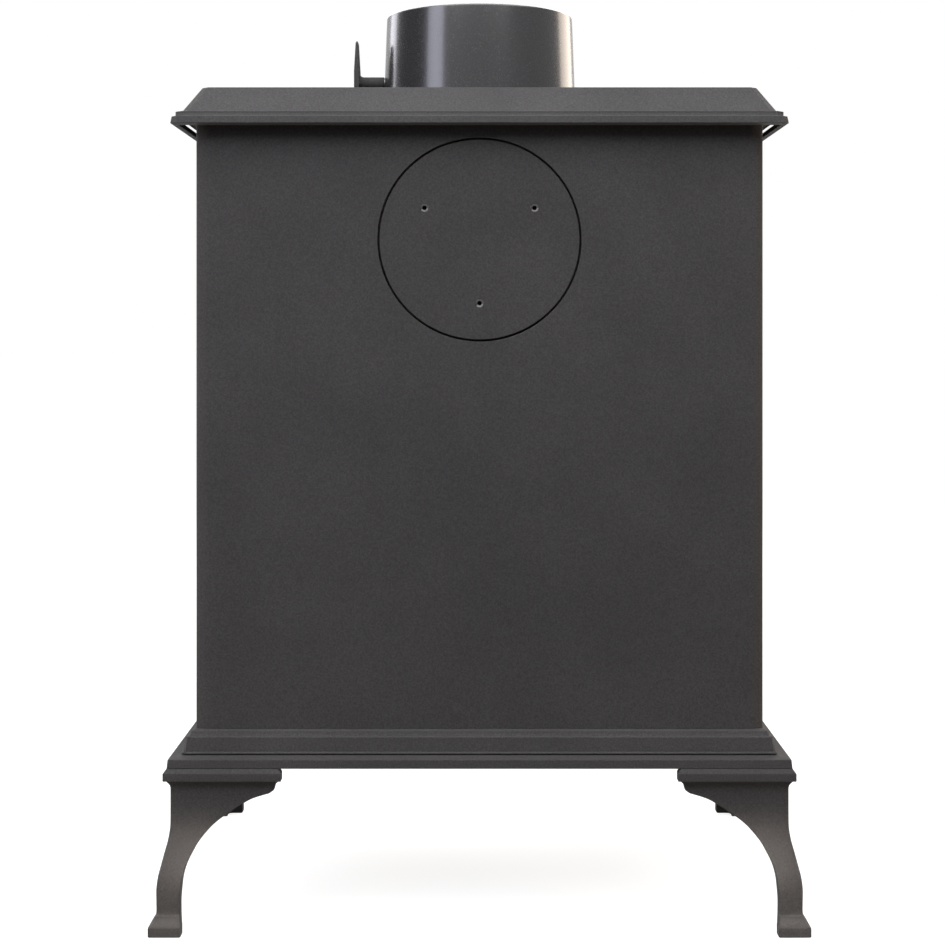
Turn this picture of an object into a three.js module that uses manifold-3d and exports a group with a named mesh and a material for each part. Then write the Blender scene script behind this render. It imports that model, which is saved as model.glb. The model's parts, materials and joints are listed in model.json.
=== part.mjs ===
// Cast iron room heating stove on four cabriole legs, with a top flue collar and damper.
// Lengths are millimetres, +Z is up, and the door faces -Y.
// Left and right are those of a person who faces the door: left is -X, right is +X.
import * as THREE from "three";
import { mergeVertices } from "three/addons/utils/BufferGeometryUtils.js";
import Module from "manifold-3d";

const wasm = await Module();
wasm.setup();

// Values that every piece shares
const clearance = 0.3; // between two pieces that meet
const overrun = 3; // how far each cutting tool passes the face that it cuts
const mergeDistance = 0.001;
const quarterTurn = Math.PI / 2;
const fullTurn = 2 * Math.PI;

// Driving sizes of the body: the firebox walls, without mouldings
const body = {
  width: 433,
  depth: 310,
  wallHeight: 465.4,
  wall: 8,
  edgeRadius: 6,
  edgeSides: 4,
};

// Legs: angle-section castings at the corners, measured outwards from the body's corner edge
const leg = {
  height: 123.1,
  thickness: 11,
  edgeCut: 2,
  padOut: 21.4,
  padReach: 67.4,
  padHeight: 8.8,
  padBevel: { in: 2.4, up: 3.1 },
  coveOut: 17.4,
  coveReach: 63,
  coveDrop: 12,
  neckOut: 16.5,
  neckReach: 61.6,
  neckDrop: 16.7,
  ankleOut: 25.6,
  ankleInset: 7.7,
  footHeight: 16.7,
  toeHeight: 7.2,
  toeOut: 30.9,
  toeInset: 6.5,
  gussetReach: 58,
};

// Shank from the neck down to the ankle: its height, outward bow and inward reach
const shankHeightShares = [
  1, 0.975, 0.934, 0.888, 0.814, 0.75, 0.678, 0.577, 0.484, 0.39, 0.297, 0.2, 0.1,
];
const shankBowShares = [0, 0, 0, 0, 0, 0.005, 0.03, 0.19, 0.43, 0.66, 0.88, 1, 1];
const shankReachShares = [1, 0.955, 0.781, 0.665, 0.519, 0.4, 0.299, 0.19, 0.12, 0.06, 0.025, 0.01, 0];

// Foot flare from the ankle to the toe, as shares of its height and of its reach
const flareHeightShares = [1, 0.79, 0.58, 0.2, 0];
const flareReachShares = [0, 0.15, 0.31, 0.78, 1];

// Base: a stepped plinth whose top edge lies in the body's wall planes
const base = {
  lowerFace: { in: 0.7, up: 6.8 },
  lowerTread: { in: 9.9, up: 1.4 },
  middleFace: { in: 1.8, up: 13.2 },
  upperTread: { in: 2.6, up: 0.4 },
  upperFace: { in: 0.9, up: 3.4 },
  bevel: { in: 3, up: 1 },
  cornerCut: 1.2,
  floor: 6,
  wall: 22,
  cornerBlock: 66,
  railWidth: 12,
  railHeight: 5.7,
};

// Top plate: a lip, two small steps and a hipped slope up to the flat cooking surface
const top = {
  lipOut: 17.1,
  lipDrop: 5.7,
  lipFace: { in: 1, up: 5.4 },
  lipTread: { in: 2.5, up: 0.5 },
  riser: { in: 0, up: 3.3 },
  upperTread: { in: 4.4, up: 0.6 },
  slope: { in: 13.4, up: 19.7 },
  cornerCut: 5,
  sideChannel: 12.6,
  pocketInset: 10.5,
  thickness: 8,
  rodSeat: 4,
};

// Cooling slots along the side lips of the top plate, sloping up and outwards
const lipSlot = {
  width: 1.7,
  length: 100,
  reach: 9,
  inFromLip: 3.5,
  slope: Math.atan(0.724),
  fromRear: 20,
  bridge: 12,
  count: 2,
};

// Flue collar, screwed to the top plate from beneath
const collar = {
  rimRadius: 75,
  draft: 2.5,
  boreRadius: 70,
  height: 66.9,
  rimRound: 1.6,
  fromRear: 94,
  sides: 48,
  boltCount: 3,
  boltDepth: 12,
};

const collarBolt = { shank: 2.5, head: 4.6, headHeight: 4, sides: 12 };

// Damper: a butterfly plate on a cross spindle, with its lever outside the collar
const damper = {
  height: 15.4,
  radius: 66,
  draughtCut: 48,
  thickness: 4,
  hub: 6.5,
  hubGap: 3,
  spindle: 3.3,
  spindleCollar: 4.6,
  spindleCollarLength: 3,
  leverOffset: 19.2,
  leverThickness: 4.2,
  leverTip: 2.1,
  leverWidth: 20,
  leverTipWidth: 12,
  leverRise: 33.7,
  leverDrop: 9,
  sides: 40,
};

// Rear outlet: a round plate set flush in the rear wall, held by a clamp plate inside
const outlet = {
  discRadius: 76.2,
  rim: 1.6,
  topMargin: 15,
  screwCircle: 48.4,
  screwCount: 3,
  clampLap: 8.2,
  clampThickness: 4,
  sides: 48,
};

const outletScrew = {
  shank: 2.4,
  head: 3.8,
  headHeight: 2.4,
  recess: 0.9,
  sides: 12,
};

// Side walls: a sunk field outside, and a ledge inside that carries the grate
const side = {
  fieldMargin: 34,
  fieldDepth: 1.6,
  ledgeReach: 9,
  ledgeHeight: 8,
  ledgeInset: 22,
};

// Front wall: how far the door and the drawer front lap its openings, and its row of air slots
const front = {
  doorLap: { side: 20, bottom: 12, top: 13 },
  drawerLap: { side: 15, bottom: 3.5, top: 4 },
  airSlot: { width: 20, height: 3.6, count: 5, pitch: 44, fromTop: 34.4 },
};

// Door: a cast frame round an arched window, lift-off hinges on the left
const door = {
  sideMargin: 46.5,
  bottom: 94,
  topMargin: 54.4,
  thickness: 12,
  gap: 4,
  edgeCut: 2,
  stile: 64,
  bottomRail: 44,
  topRail: 43,
  windowRise: 34,
  archSides: 16,
  windowMould: 9,
  mouldHeight: 3,
  borderWidth: 12,
  glassLap: 9,
  glassThickness: 4,
  glassRebate: 5.2,
  ropeWidth: 8,
  ropeGroove: 3.6,
  ropeFromEdge: 5,
};

const glassClip = { length: 40, width: 12, thickness: 1.6, lap: 5, fromEnd: 52 };

const hinge = {
  fromEdge: 10,
  forward: 10,
  knuckle: 8,
  knuckleHeight: 16,
  fromBottom: 52,
  fromTop: 55,
  webWidth: 9,
  sides: 20,
};

const hingePin = { shank: 3.2, head: 5.4, headHeight: 3, sides: 20 };

const latch = {
  fromEdge: 32,
  belowMiddle: 1.5,
  spindle: 5,
  boss: 10,
  bossHeight: 4,
  hub: 8,
  tongueLength: 24,
  tongueWidth: 12,
  thickness: 5,
  inside: 1,
  sides: 16,
};

const handle = {
  hub: 9,
  hubLength: 15,
  armWidth: 11,
  armThickness: 7,
  armLength: 84,
  gripRadius: 8,
  gripLength: 42,
  gripNeck: 5.5,
  sides: 16,
};

// Ash drawer: its own front plate with a rotating air wheel, and a folded steel pan behind
const drawer = {
  sideMargin: 71.5,
  bottom: 2.2,
  top: 70,
  thickness: 8,
  edgeCut: 2,
  panSideGap: 4,
  panRearGap: 30,
  panTopGap: 6,
  panWall: 2,
  knobFromEnd: 47,
  airHoles: 6,
  airHole: 3.6,
  airCircle: 15,
};

const airWheel = { radius: 25, thickness: 6, web: 3, hub: 7, hubLength: 12, teeth: 6, sides: 24 };
const airStud = { shank: 3, head: 5, headHeight: 3, sides: 12 };
const knob = { radius: 11, neck: 5, neckLength: 9, length: 22, sides: 16 };
const smallKnob = { radius: 7, neck: 3.5, neckLength: 7, length: 15, sides: 16 };

// Airwash slider above the door, in two undercut rails
const airwash = {
  halfWidth: 104,
  thickness: 3,
  margin: 8,
  railWeb: 3,
  railLip: 2.4,
  railLap: 3,
  travel: 22,
};

// Fire bed
const grate = {
  fromFloor: 76.7,
  thickness: 12,
  cornerNotch: 12,
  recessHalfWidth: 92,
  recessHalfDepth: 80,
  recessDepth: 6,
  slotWidth: 9,
  slotPitch: 20,
  slotCount: 8,
  slotHalfLength: 56,
  plateThickness: 5,
  travel: 10,
  rod: 2.8,
  knobStandOff: 8,
};

const guard = {
  endGap: 12.9,
  height: 42,
  thickness: 6,
  fromFront: 14,
  slotWidth: 10,
  slotHeight: 22,
  pitch: 28,
  count: 9,
};

const brick = { thickness: 25, endGap: 17, sideHeight: 236, belowClamp: 1.6, fromRear: 3 };
const baffle = { thickness: 10, fromFront: 62, fromRear: 8, fromSide: 3 };
const tieRod = { radius: 4, inset: 13, nut: 7.5, nutHeight: 6.5, sides: 12, nutSides: 6 };

// Places worked out from the sizes above
const halfWidth = body.width / 2;
const halfDepth = body.depth / 2;
const baseSteps = [
  base.lowerFace,
  base.lowerTread,
  base.middleFace,
  base.upperTread,
  base.upperFace,
  base.bevel,
];
const topSteps = [top.lipFace, top.lipTread, top.riser, top.upperTread, top.slope];
const baseOut = baseSteps.reduce((sum, step) => sum + step.in, 0);
const baseHeight = baseSteps.reduce((sum, step) => sum + step.up, 0);
const bodyBottom = leg.height + baseHeight;
const bodyTop = bodyBottom + body.wallHeight;
const lipBottom = bodyTop - top.lipDrop;
const topSurface = lipBottom + topSteps.reduce((sum, step) => sum + step.up, 0);
const pocketCeiling = topSurface - top.thickness;
const frontFace = -halfDepth;
const innerFront = frontFace + body.wall;
const innerRear = halfDepth - body.wall;
const innerSide = halfWidth - body.wall;
const flueCentre = halfDepth - collar.fromRear;
const spindleHeight = topSurface + damper.height;
const outletRadius = outlet.discRadius + outlet.rim;
const outletHeight = bodyTop - outlet.topMargin - outletRadius;
const clampRadius = outletRadius + outlet.clampLap;
const grateBottom = bodyBottom + grate.fromFloor;
const doorHalf = halfWidth - door.sideMargin;
const doorBottom = bodyBottom + door.bottom;
const doorTop = bodyTop - door.topMargin;
const windowHalf = doorHalf - door.stile;
const windowBottom = doorBottom + door.bottomRail;
const windowSpring = doorTop - door.topRail - door.windowRise;
const drawerHalf = halfWidth - drawer.sideMargin;
const drawerBottom = bodyBottom + drawer.bottom;
const drawerTop = bodyBottom + drawer.top;
const panHalf = drawerHalf - front.drawerLap.side - drawer.panSideGap;
const airSlotBottom = bodyTop - front.airSlot.fromTop;
const grateTop = grateBottom + grate.thickness;
const rodX = halfWidth - tieRod.inset;
const rodY = halfDepth - tieRod.inset;

// Materials
function finish(color, roughness, metalness) {
  return new THREE.MeshStandardMaterial({ color, roughness, metalness });
}

const stovePaint = finish("#45444a", 0.72, 0.35);
const glossPaint = finish("#232227", 0.25, 0.4);
const plainSteel = finish("#8d8f92", 0.38, 0.9);
const rawIron = finish("#3a3836", 0.8, 0.5);
const ceramicGlass = finish("#2a2521", 0.08, 0);
const sealRope = finish("#a09a8c", 0.95, 0);
const fireBrick = finish("#c9b694", 0.95, 0);
const panSteel = finish("#6e7072", 0.5, 0.8);

// Shapes: each returns a plain closed geometry
function bare(geometry) {
  const positions = geometry.clone();
  positions.deleteAttribute("normal");
  positions.deleteAttribute("uv");
  return mergeVertices(positions, mergeDistance);
}

function solid(geometry) {
  const merged = bare(geometry);
  const corners = merged.index.array;
  const kept = [];
  for (let i = 0; i < corners.length; i += 3) {
    const [a, b, c] = corners.subarray(i, i + 3);
    if (a !== b && b !== c && c !== a) kept.push(a, b, c);
  }
  const vertProperties = new Float32Array(merged.attributes.position.array);
  return new wasm.Manifold(
    new wasm.Mesh({ numProp: 3, vertProperties, triVerts: new Uint32Array(kept) }),
  );
}

function geometryOf(manifold) {
  const { vertProperties, triVerts } = manifold.getMesh();
  return new THREE.BufferGeometry()
    .setAttribute("position", new THREE.BufferAttribute(new Float32Array(vertProperties), 3))
    .setIndex(new THREE.BufferAttribute(new Uint32Array(triVerts), 1));
}

function join(...shapes) {
  return geometryOf(shapes.map(solid).reduce((whole, shape) => whole.add(shape)));
}

function cut(shape, ...tools) {
  return geometryOf(tools.map(solid).reduce((left, tool) => left.subtract(tool), solid(shape)));
}

function block([x0, x1], [y0, y1], [z0, z1]) {
  return new THREE.BoxGeometry(x1 - x0, y1 - y0, z1 - z0).translate(
    (x0 + x1) / 2,
    (y0 + y1) / 2,
    (z0 + z1) / 2,
  );
}

// Closed skin over outlines of equal length, stacked upwards, each counter-clockwise from above
function skin(levels) {
  const count = levels[0].length;
  const index = [];
  for (let row = 0; row + 1 < levels.length; row++) {
    for (let i = 0; i < count; i++) {
      const next = (i + 1) % count;
      const [a, b] = [row * count + i, row * count + next];
      index.push(a, b, b + count, a, b + count, a + count);
    }
  }
  const cap = (level, start, flip) => {
    const outline = level.map(([x, y]) => new THREE.Vector2(x, y));
    for (const [a, b, c] of THREE.ShapeUtils.triangulateShape(outline, [])) {
      index.push(start + a, start + (flip ? c : b), start + (flip ? b : c));
    }
  };
  cap(levels[0], 0, true);
  cap(levels[levels.length - 1], (levels.length - 1) * count, false);
  return new THREE.BufferGeometry()
    .setAttribute("position", new THREE.Float32BufferAttribute(levels.flat(2), 3))
    .setIndex(index);
}

// Rectangle with cut corners at one height
function cutRectangle(x, y, z, corner) {
  return [
    [x, corner - y, z],
    [x, y - corner, z],
    [x - corner, y, z],
    [corner - x, y, z],
    [-x, y - corner, z],
    [-x, corner - y, z],
    [corner - x, -y, z],
    [x - corner, -y, z],
  ];
}

// Block whose outer faces step in and up from its lower edge, as a run of mouldings
function mouldedBlock(out, bottom, steps, corner) {
  let [reach, height] = [out, bottom];
  const levels = [cutRectangle(halfWidth + reach, halfDepth + reach, height, corner)];
  for (const step of steps) {
    reach -= step.in;
    height += step.up;
    levels.push(cutRectangle(halfWidth + reach, halfDepth + reach, height, corner));
  }
  return skin(levels);
}

// Turned piece: points are radius and distance along the axis, which starts at the origin
const turns = {
  up: (shape) => shape.rotateX(quarterTurn),
  down: (shape) => shape.rotateX(-quarterTurn),
  front: (shape) => shape.rotateX(2 * quarterTurn),
  rear: (shape) => shape,
  right: (shape) => shape.rotateZ(-quarterTurn),
};

function turned(points, sides, direction) {
  const profile = points.map(([radius, along]) => new THREE.Vector2(radius, along));
  return turns[direction](new THREE.LatheGeometry(profile, sides));
}

function rod(radius, length, sides, direction) {
  return turned([[0, 0], [radius, 0], [radius, length], [0, length]], sides, direction);
}

// Head at the origin, then the shank along the same axis
function bolt({ shank, head, headHeight, sides }, length, direction) {
  const reach = headHeight + length;
  const points = [
    [0, 0],
    [head, 0],
    [head, headHeight],
    [shank, headHeight],
    [shank, reach],
    [0, reach],
  ];
  return turned(points, sides, direction);
}

// Mushroom knob on a neck, from its seat outwards
function knobShape({ radius, neck, neckLength, length, sides }, direction) {
  const crown = length - neckLength;
  const points = [
    [0, 0],
    [neck, 0],
    [neck, neckLength],
    [radius, neckLength + crown / 3],
    [radius, neckLength + (2 * crown) / 3],
    [(2 * radius) / 3, length],
    [0, length],
  ];
  return turned(points, sides, direction);
}

function at(shape, x, y, z) {
  return shape.translate(x, y, z);
}

// Scene graph: one group for the fixed body and one for each moving piece, at its joint
const stove = new THREE.Group();

function movingGroup(parent, x, y, z) {
  const group = new THREE.Group();
  group.position.set(x, y, z).sub(parent.userData.place ?? new THREE.Vector3());
  group.userData.place = new THREE.Vector3(x, y, z);
  parent.add(group);
  return group;
}

// Shapes are drawn where they stand in the stove, and a group's shapes are shifted to its own origin
function add(group, name, shape, material) {
  const place = group.userData.place ?? new THREE.Vector3();
  const geometry = geometryOf(solid(shape)).translate(-place.x, -place.y, -place.z);
  const mesh = new THREE.Mesh(geometry, material);
  mesh.name = name;
  group.add(mesh);
  return mesh;
}

const corners = [
  { name: "rear_right", x: 1, y: 1, turn: 0 },
  { name: "rear_left", x: -1, y: 1, turn: 1 },
  { name: "front_left", x: -1, y: -1, turn: 2 },
  { name: "front_right", x: 1, y: -1, turn: 3 },
];

// Legs, with a gusset in the angle for the tie rod
function legShape() {
  const outline = (z, out, end) => {
    const inner = out - leg.thickness;
    return [
      [out, end, z],
      [out, out - leg.edgeCut, z],
      [out - leg.edgeCut, out, z],
      [end, out, z],
      [end, inner, z],
      [inner, inner, z],
      [inner, end, z],
    ];
  };
  const neckHeight = leg.height - leg.neckDrop;
  const levels = [outline(0, leg.toeOut, leg.toeInset)];
  for (let i = flareHeightShares.length - 1; i >= 0; i--) {
    const z = leg.toeHeight + flareHeightShares[i] * (leg.footHeight - leg.toeHeight);
    const out = leg.ankleOut + flareReachShares[i] * (leg.toeOut - leg.ankleOut);
    const end = leg.ankleInset + flareReachShares[i] * (leg.toeInset - leg.ankleInset);
    levels.push(outline(z, out, end));
  }
  for (let i = shankHeightShares.length - 1; i >= 0; i--) {
    const z = leg.footHeight + shankHeightShares[i] * (neckHeight - leg.footHeight);
    const out = leg.neckOut + shankBowShares[i] * (leg.ankleOut - leg.neckOut);
    const end = leg.ankleInset - shankReachShares[i] * (leg.neckReach + leg.ankleInset);
    levels.push(outline(z, out, end));
  }
  const padBottom = leg.height - leg.padHeight;
  const { in: bevelIn, up: bevelUp } = leg.padBevel;
  levels.push(outline(leg.height - leg.coveDrop, leg.coveOut, -leg.coveReach));
  levels.push(outline(padBottom, leg.padOut, -leg.padReach));
  levels.push(outline(leg.height - bevelUp, leg.padOut, -leg.padReach));
  levels.push(outline(leg.height, leg.padOut - bevelIn, bevelIn - leg.padReach));
  const root = leg.padOut - leg.thickness + bevelIn;
  const triangle = (z) => [[root, -leg.gussetReach, z], [root, root, z], [-leg.gussetReach, root, z]];
  const gusset = skin([triangle(padBottom), triangle(leg.height)]);
  const rodHole = at(
    rod(tieRod.radius + clearance, leg.padHeight + 2 * overrun, tieRod.sides, "up"),
    -tieRod.inset,
    -tieRod.inset,
    padBottom - overrun,
  );
  return cut(join(skin(levels), gusset), rodHole);
}

const legGeometry = legShape();
for (const corner of corners) {
  const mesh = add(stove, `leg_${corner.name}`, legGeometry, stovePaint);
  mesh.position.set(corner.x * halfWidth, corner.y * halfDepth, 0);
  mesh.rotation.z = corner.turn * quarterTurn;
}

// Tie rods run from beneath the legs up into the top plate, with a nut below each
const rodBottom = leg.height - leg.padHeight - tieRod.nutHeight - clearance;
const rodTop = pocketCeiling + top.rodSeat - clearance;

function tieRodAt(x, y, radius, from, to) {
  return at(rod(radius, to - from, tieRod.sides, "up"), x, y, from);
}

function tieHoles(from, to) {
  return corners.map((corner) =>
    tieRodAt(corner.x * rodX, corner.y * rodY, tieRod.radius + clearance, from, to),
  );
}

corners.forEach((corner, i) => {
  const [x, y] = [corner.x * rodX, corner.y * rodY];
  const shank = tieRodAt(x, y, tieRod.radius, rodBottom - clearance, rodTop);
  add(stove, `tie_rod_${i + 1}`, shank, plainSteel);
  const nut = at(rod(tieRod.nut, tieRod.nutHeight, tieRod.nutSides, "up"), x, y, rodBottom);
  const bore = tieRodAt(
    x,
    y,
    tieRod.radius + clearance,
    rodBottom - overrun,
    rodBottom + tieRod.nutHeight + overrun,
  );
  add(stove, `tie_nut_${i + 1}`, cut(nut, bore), plainSteel);
});

// Base plinth, hollow beneath except at its corners, with two rails on top for the ash pan
function baseShape() {
  const plinth = mouldedBlock(baseOut, leg.height, baseSteps, base.cornerCut);
  const hollow = [leg.height - overrun, bodyBottom - base.floor];
  const wide = halfWidth - base.wall;
  const deep = halfDepth - base.wall;
  const across = block(
    [-wide, wide],
    [base.cornerBlock - halfDepth, halfDepth - base.cornerBlock],
    hollow,
  );
  const along = block(
    [base.cornerBlock - halfWidth, halfWidth - base.cornerBlock],
    [-deep, deep],
    hollow,
  );
  const railOuter = panHalf - base.railWidth;
  const rails = [-1, 1].map((hand) => {
    const edges = [hand * railOuter, hand * (railOuter - base.railWidth)].sort((a, b) => a - b);
    return block(
      edges,
      [innerFront + base.railWidth, innerRear - base.wall],
      [bodyBottom - base.floor / 2, bodyBottom + base.railHeight],
    );
  });
  return cut(join(plinth, ...rails), across, along, ...tieHoles(leg.height - overrun, bodyTop));
}

add(stove, "base_plinth", baseShape(), stovePaint);

// Top plate
function slotCutters() {
  const lipEdge = halfWidth + top.lipOut - lipSlot.inFromLip;
  const middle = lipBottom + top.lipFace.up;
  const cutters = [];
  for (const hand of [-1, 1]) {
    for (let i = 0; i < lipSlot.count; i++) {
      const start = halfDepth - lipSlot.fromRear - i * (lipSlot.length + lipSlot.bridge);
      const blade = block(
        [-lipSlot.reach / 2, lipSlot.reach / 2],
        [start - lipSlot.length, start],
        [-lipSlot.width / 2, lipSlot.width / 2],
      ).rotateY(-hand * lipSlot.slope);
      cutters.push(at(blade, hand * lipEdge, 0, middle));
    }
  }
  return cutters;
}

function topShape() {
  const plate = mouldedBlock(top.lipOut, lipBottom, topSteps, top.cornerCut);
  const channel = halfWidth + top.sideChannel;
  const recess = block(
    [-channel, channel],
    [-halfDepth - clearance, halfDepth + clearance],
    [lipBottom - overrun, bodyTop + clearance],
  );
  const pocketX = halfWidth - top.pocketInset;
  const pocketY = halfDepth - top.pocketInset;
  const pocket = block([-pocketX, pocketX], [-pocketY, pocketY], [lipBottom - overrun, pocketCeiling]);
  const flue = at(
    rod(collar.boreRadius, top.thickness + 2 * overrun, collar.sides, "up"),
    0,
    flueCentre,
    pocketCeiling - overrun,
  );
  const seats = tieHoles(lipBottom - overrun, pocketCeiling + top.rodSeat);
  const boltHoles = collarBoltPlaces().map(([x, y]) =>
    at(
      rod(collarBolt.shank + clearance, top.thickness + 2 * overrun, collarBolt.sides, "up"),
      x,
      y,
      pocketCeiling - overrun,
    ),
  );
  return cut(plate, recess, pocket, flue, ...seats, ...boltHoles, ...slotCutters());
}

// Flue collar with its bolts, which stand in the thickness of its wall
function collarBoltPlaces() {
  const circle = collar.boreRadius + (collar.rimRadius + collar.draft - collar.boreRadius) / 2;
  return Array.from({ length: collar.boltCount }, (_, i) => {
    const angle = quarterTurn + (i * fullTurn) / collar.boltCount;
    return [circle * Math.cos(angle), flueCentre + circle * Math.sin(angle)];
  });
}

function collarShape() {
  const { rimRadius, draft, boreRadius, height, rimRound } = collar;
  const points = [
    [boreRadius, 0],
    [rimRadius + draft, 0],
    [rimRadius, height - rimRound],
    [rimRadius - rimRound, height],
    [boreRadius + rimRound, height],
    [boreRadius, height - rimRound],
    [boreRadius, 0],
  ];
  const ring = at(turned(points, collar.sides, "up"), 0, flueCentre, topSurface);
  const spindleHole = at(
    rod(damper.spindle + clearance, 2 * (rimRadius + draft + overrun), damper.sides / 2, "right"),
    -rimRadius - draft - overrun,
    flueCentre,
    spindleHeight,
  );
  const boltHoles = collarBoltPlaces().map(([x, y]) =>
    at(
      rod(collarBolt.shank + clearance, collar.boltDepth + overrun, collarBolt.sides, "up"),
      x,
      y,
      topSurface - overrun,
    ),
  );
  return cut(ring, spindleHole, ...boltHoles);
}

add(stove, "top_plate", topShape(), stovePaint);
add(stove, "flue_collar", collarShape(), glossPaint);
collarBoltPlaces().forEach(([x, y], i) => {
  const length = top.thickness + collar.boltDepth - clearance;
  const shape = at(bolt(collarBolt, length, "up"), x, y, pocketCeiling - collarBolt.headHeight);
  add(stove, `collar_bolt_${i + 1}`, shape, plainSteel);
});

// Damper, open at rest with its plate upright and its lever up
const damperGroup = movingGroup(stove, 0, flueCentre, spindleHeight);

function damperPlateShape() {
  const { radius, thickness, hub, hubGap, spindle, draughtCut, sides } = damper;
  const disc = at(rod(radius, thickness, sides, "rear"), 0, -thickness / 2, 0);
  const hubLength = 2 * (radius - hubGap);
  const barrel = at(rod(hub, hubLength, sides / 2, "right"), -hubLength / 2, 0, 0);
  const bore = at(
    rod(spindle + clearance, 2 * (radius + overrun), sides / 2, "right"),
    -radius - overrun,
    0,
    0,
  );
  const above = block(
    [-radius - overrun, radius + overrun],
    [-thickness, thickness],
    [draughtCut, radius + overrun],
  );
  return at(cut(join(disc, barrel), bore, above), 0, flueCentre, spindleHeight);
}

const leverSeat = collar.rimRadius + damper.leverOffset;
const leverMiddle = leverSeat + damper.spindleCollarLength + damper.leverThickness / 2;

function damperSpindleShape() {
  const { spindle, spindleCollar, spindleCollarLength, leverThickness, sides } = damper;
  const start = -collar.rimRadius;
  const end = leverSeat + spindleCollarLength + leverThickness;
  const shaft = at(rod(spindle, end - start, sides / 2, "right"), start, 0, 0);
  const shoulder = at(
    rod(spindleCollar, spindleCollarLength - clearance, sides / 2, "right"),
    leverSeat,
    0,
    0,
  );
  return at(join(shaft, shoulder), 0, flueCentre, spindleHeight);
}

function damperLeverShape() {
  const { leverThickness, leverTip, leverWidth, leverTipWidth, leverRise, leverDrop, sides } = damper;
  const section = (z, thickness, width) => [
    [thickness / 2, -width / 2, z],
    [thickness / 2, width / 2, z],
    [-thickness / 2, width / 2, z],
    [-thickness / 2, -width / 2, z],
  ];
  const shoulder = leverRise - leverTip;
  const blade = skin([
    section(-leverDrop, leverThickness, leverTipWidth),
    section(-leverDrop / 2, leverThickness, leverWidth),
    section(leverDrop, leverThickness, leverWidth),
    section(shoulder, leverTip + (leverThickness - leverTip) / leverRise, leverTipWidth),
    section(leverRise, leverTip / 2, leverTipWidth / 2),
  ]);
  const bore = at(
    rod(damper.spindle + clearance, leverThickness + 2 * overrun, sides / 2, "right"),
    -leverThickness / 2 - overrun,
    0,
    0,
  );
  return at(cut(blade, bore), leverMiddle, flueCentre, spindleHeight);
}

add(damperGroup, "damper_plate", damperPlateShape(), rawIron);
add(damperGroup, "damper_spindle", damperSpindleShape(), plainSteel);
add(damperGroup, "damper_lever", damperLeverShape(), stovePaint);

// Wall that spans the full width, with its outer upright edges rounded; drawn as the rear wall
function fullWall() {
  const { edgeRadius: round, edgeSides, wall } = body;
  const outline = (z) => {
    const points = [];
    for (const hand of [1, -1]) {
      for (let i = 0; i <= edgeSides; i++) {
        const turn = ((hand > 0 ? i : edgeSides - i) / edgeSides) * quarterTurn;
        points.push([
          hand * (halfWidth - round + round * Math.cos(turn)),
          halfDepth - round + round * Math.sin(turn),
          z,
        ]);
      }
    }
    return [...points, [-halfWidth, halfDepth - wall, z], [halfWidth, halfDepth - wall, z]];
  };
  return skin([outline(bodyBottom), outline(bodyTop)]);
}

// Rear wall and its blanked outlet
function outletRound(radius, rear, thickness) {
  return at(rod(radius, thickness, outlet.sides, "rear"), 0, rear - thickness, outletHeight);
}

const outletScrewPlaces = Array.from({ length: outlet.screwCount }, (_, i) => {
  const angle = quarterTurn / 3 + (i * fullTurn) / outlet.screwCount;
  return [outlet.screwCircle * Math.cos(angle), outletHeight + outlet.screwCircle * Math.sin(angle)];
});

function screwHoles(radius, from, to) {
  return outletScrewPlaces.map(([x, z]) =>
    at(rod(radius, to - from, outletScrew.sides, "rear"), x, from, z),
  );
}

const rearHole = outletRound(outletRadius, halfDepth + overrun, body.wall + 2 * overrun);
add(stove, "rear_panel", cut(fullWall(), rearHole), stovePaint);

const discBack = innerRear;
const headSeat = halfDepth - outletScrew.recess - outletScrew.headHeight - clearance;
add(
  stove,
  "rear_blanking_disc",
  cut(
    outletRound(outlet.discRadius, halfDepth, body.wall),
    ...screwHoles(outletScrew.shank + clearance, discBack - overrun, halfDepth),
    ...screwHoles(outletScrew.head + clearance, headSeat, halfDepth + overrun),
  ),
  stovePaint,
);

const clampFront = innerRear - outlet.clampThickness;
add(
  stove,
  "blanking_clamp",
  cut(
    outletRound(clampRadius, innerRear, outlet.clampThickness),
    ...screwHoles(outletScrew.shank + clearance, clampFront - overrun, innerRear + overrun),
  ),
  rawIron,
);

outletScrewPlaces.forEach(([x, z], i) => {
  const headOut = halfDepth - outletScrew.recess;
  const length = headOut - outletScrew.headHeight - clampFront;
  const shape = at(bolt(outletScrew, length, "front"), x, headOut, z);
  add(stove, `blanking_screw_${i + 1}`, shape, stovePaint);
});

// Side walls stand between the front and rear walls
const ledgeTop = grateBottom - clearance;

function sideShape(hand) {
  const span = (a, b) => [hand * a, hand * b].sort((p, q) => p - q);
  const wall = block(
    span(innerSide, halfWidth),
    [innerFront + clearance, innerRear - clearance],
    [bodyBottom, bodyTop],
  );
  const ledge = block(
    span(innerSide - side.ledgeReach, innerSide + side.fieldDepth),
    [innerFront + side.ledgeInset, innerRear - side.ledgeInset],
    [ledgeTop - side.ledgeHeight, ledgeTop],
  );
  const field = block(
    span(halfWidth - side.fieldDepth, halfWidth + overrun),
    [innerFront + side.fieldMargin, innerRear - side.fieldMargin],
    [bodyBottom + side.fieldMargin, bodyTop - side.fieldMargin],
  );
  return cut(join(wall, ledge), field);
}

add(stove, "side_panel_left", sideShape(-1), stovePaint);
add(stove, "side_panel_right", sideShape(1), stovePaint);

// Front wall, with the rails of the airwash slider and the fixed hinge knuckles
const sliderBottom = airSlotBottom - airwash.margin;
const sliderTop = airSlotBottom + front.airSlot.height + airwash.margin;
const hingeX = -doorHalf - hinge.fromEdge;
const hingeY = frontFace - hinge.forward;
const hingeHeights = [doorBottom + hinge.fromBottom, doorTop - hinge.fromTop];

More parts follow.
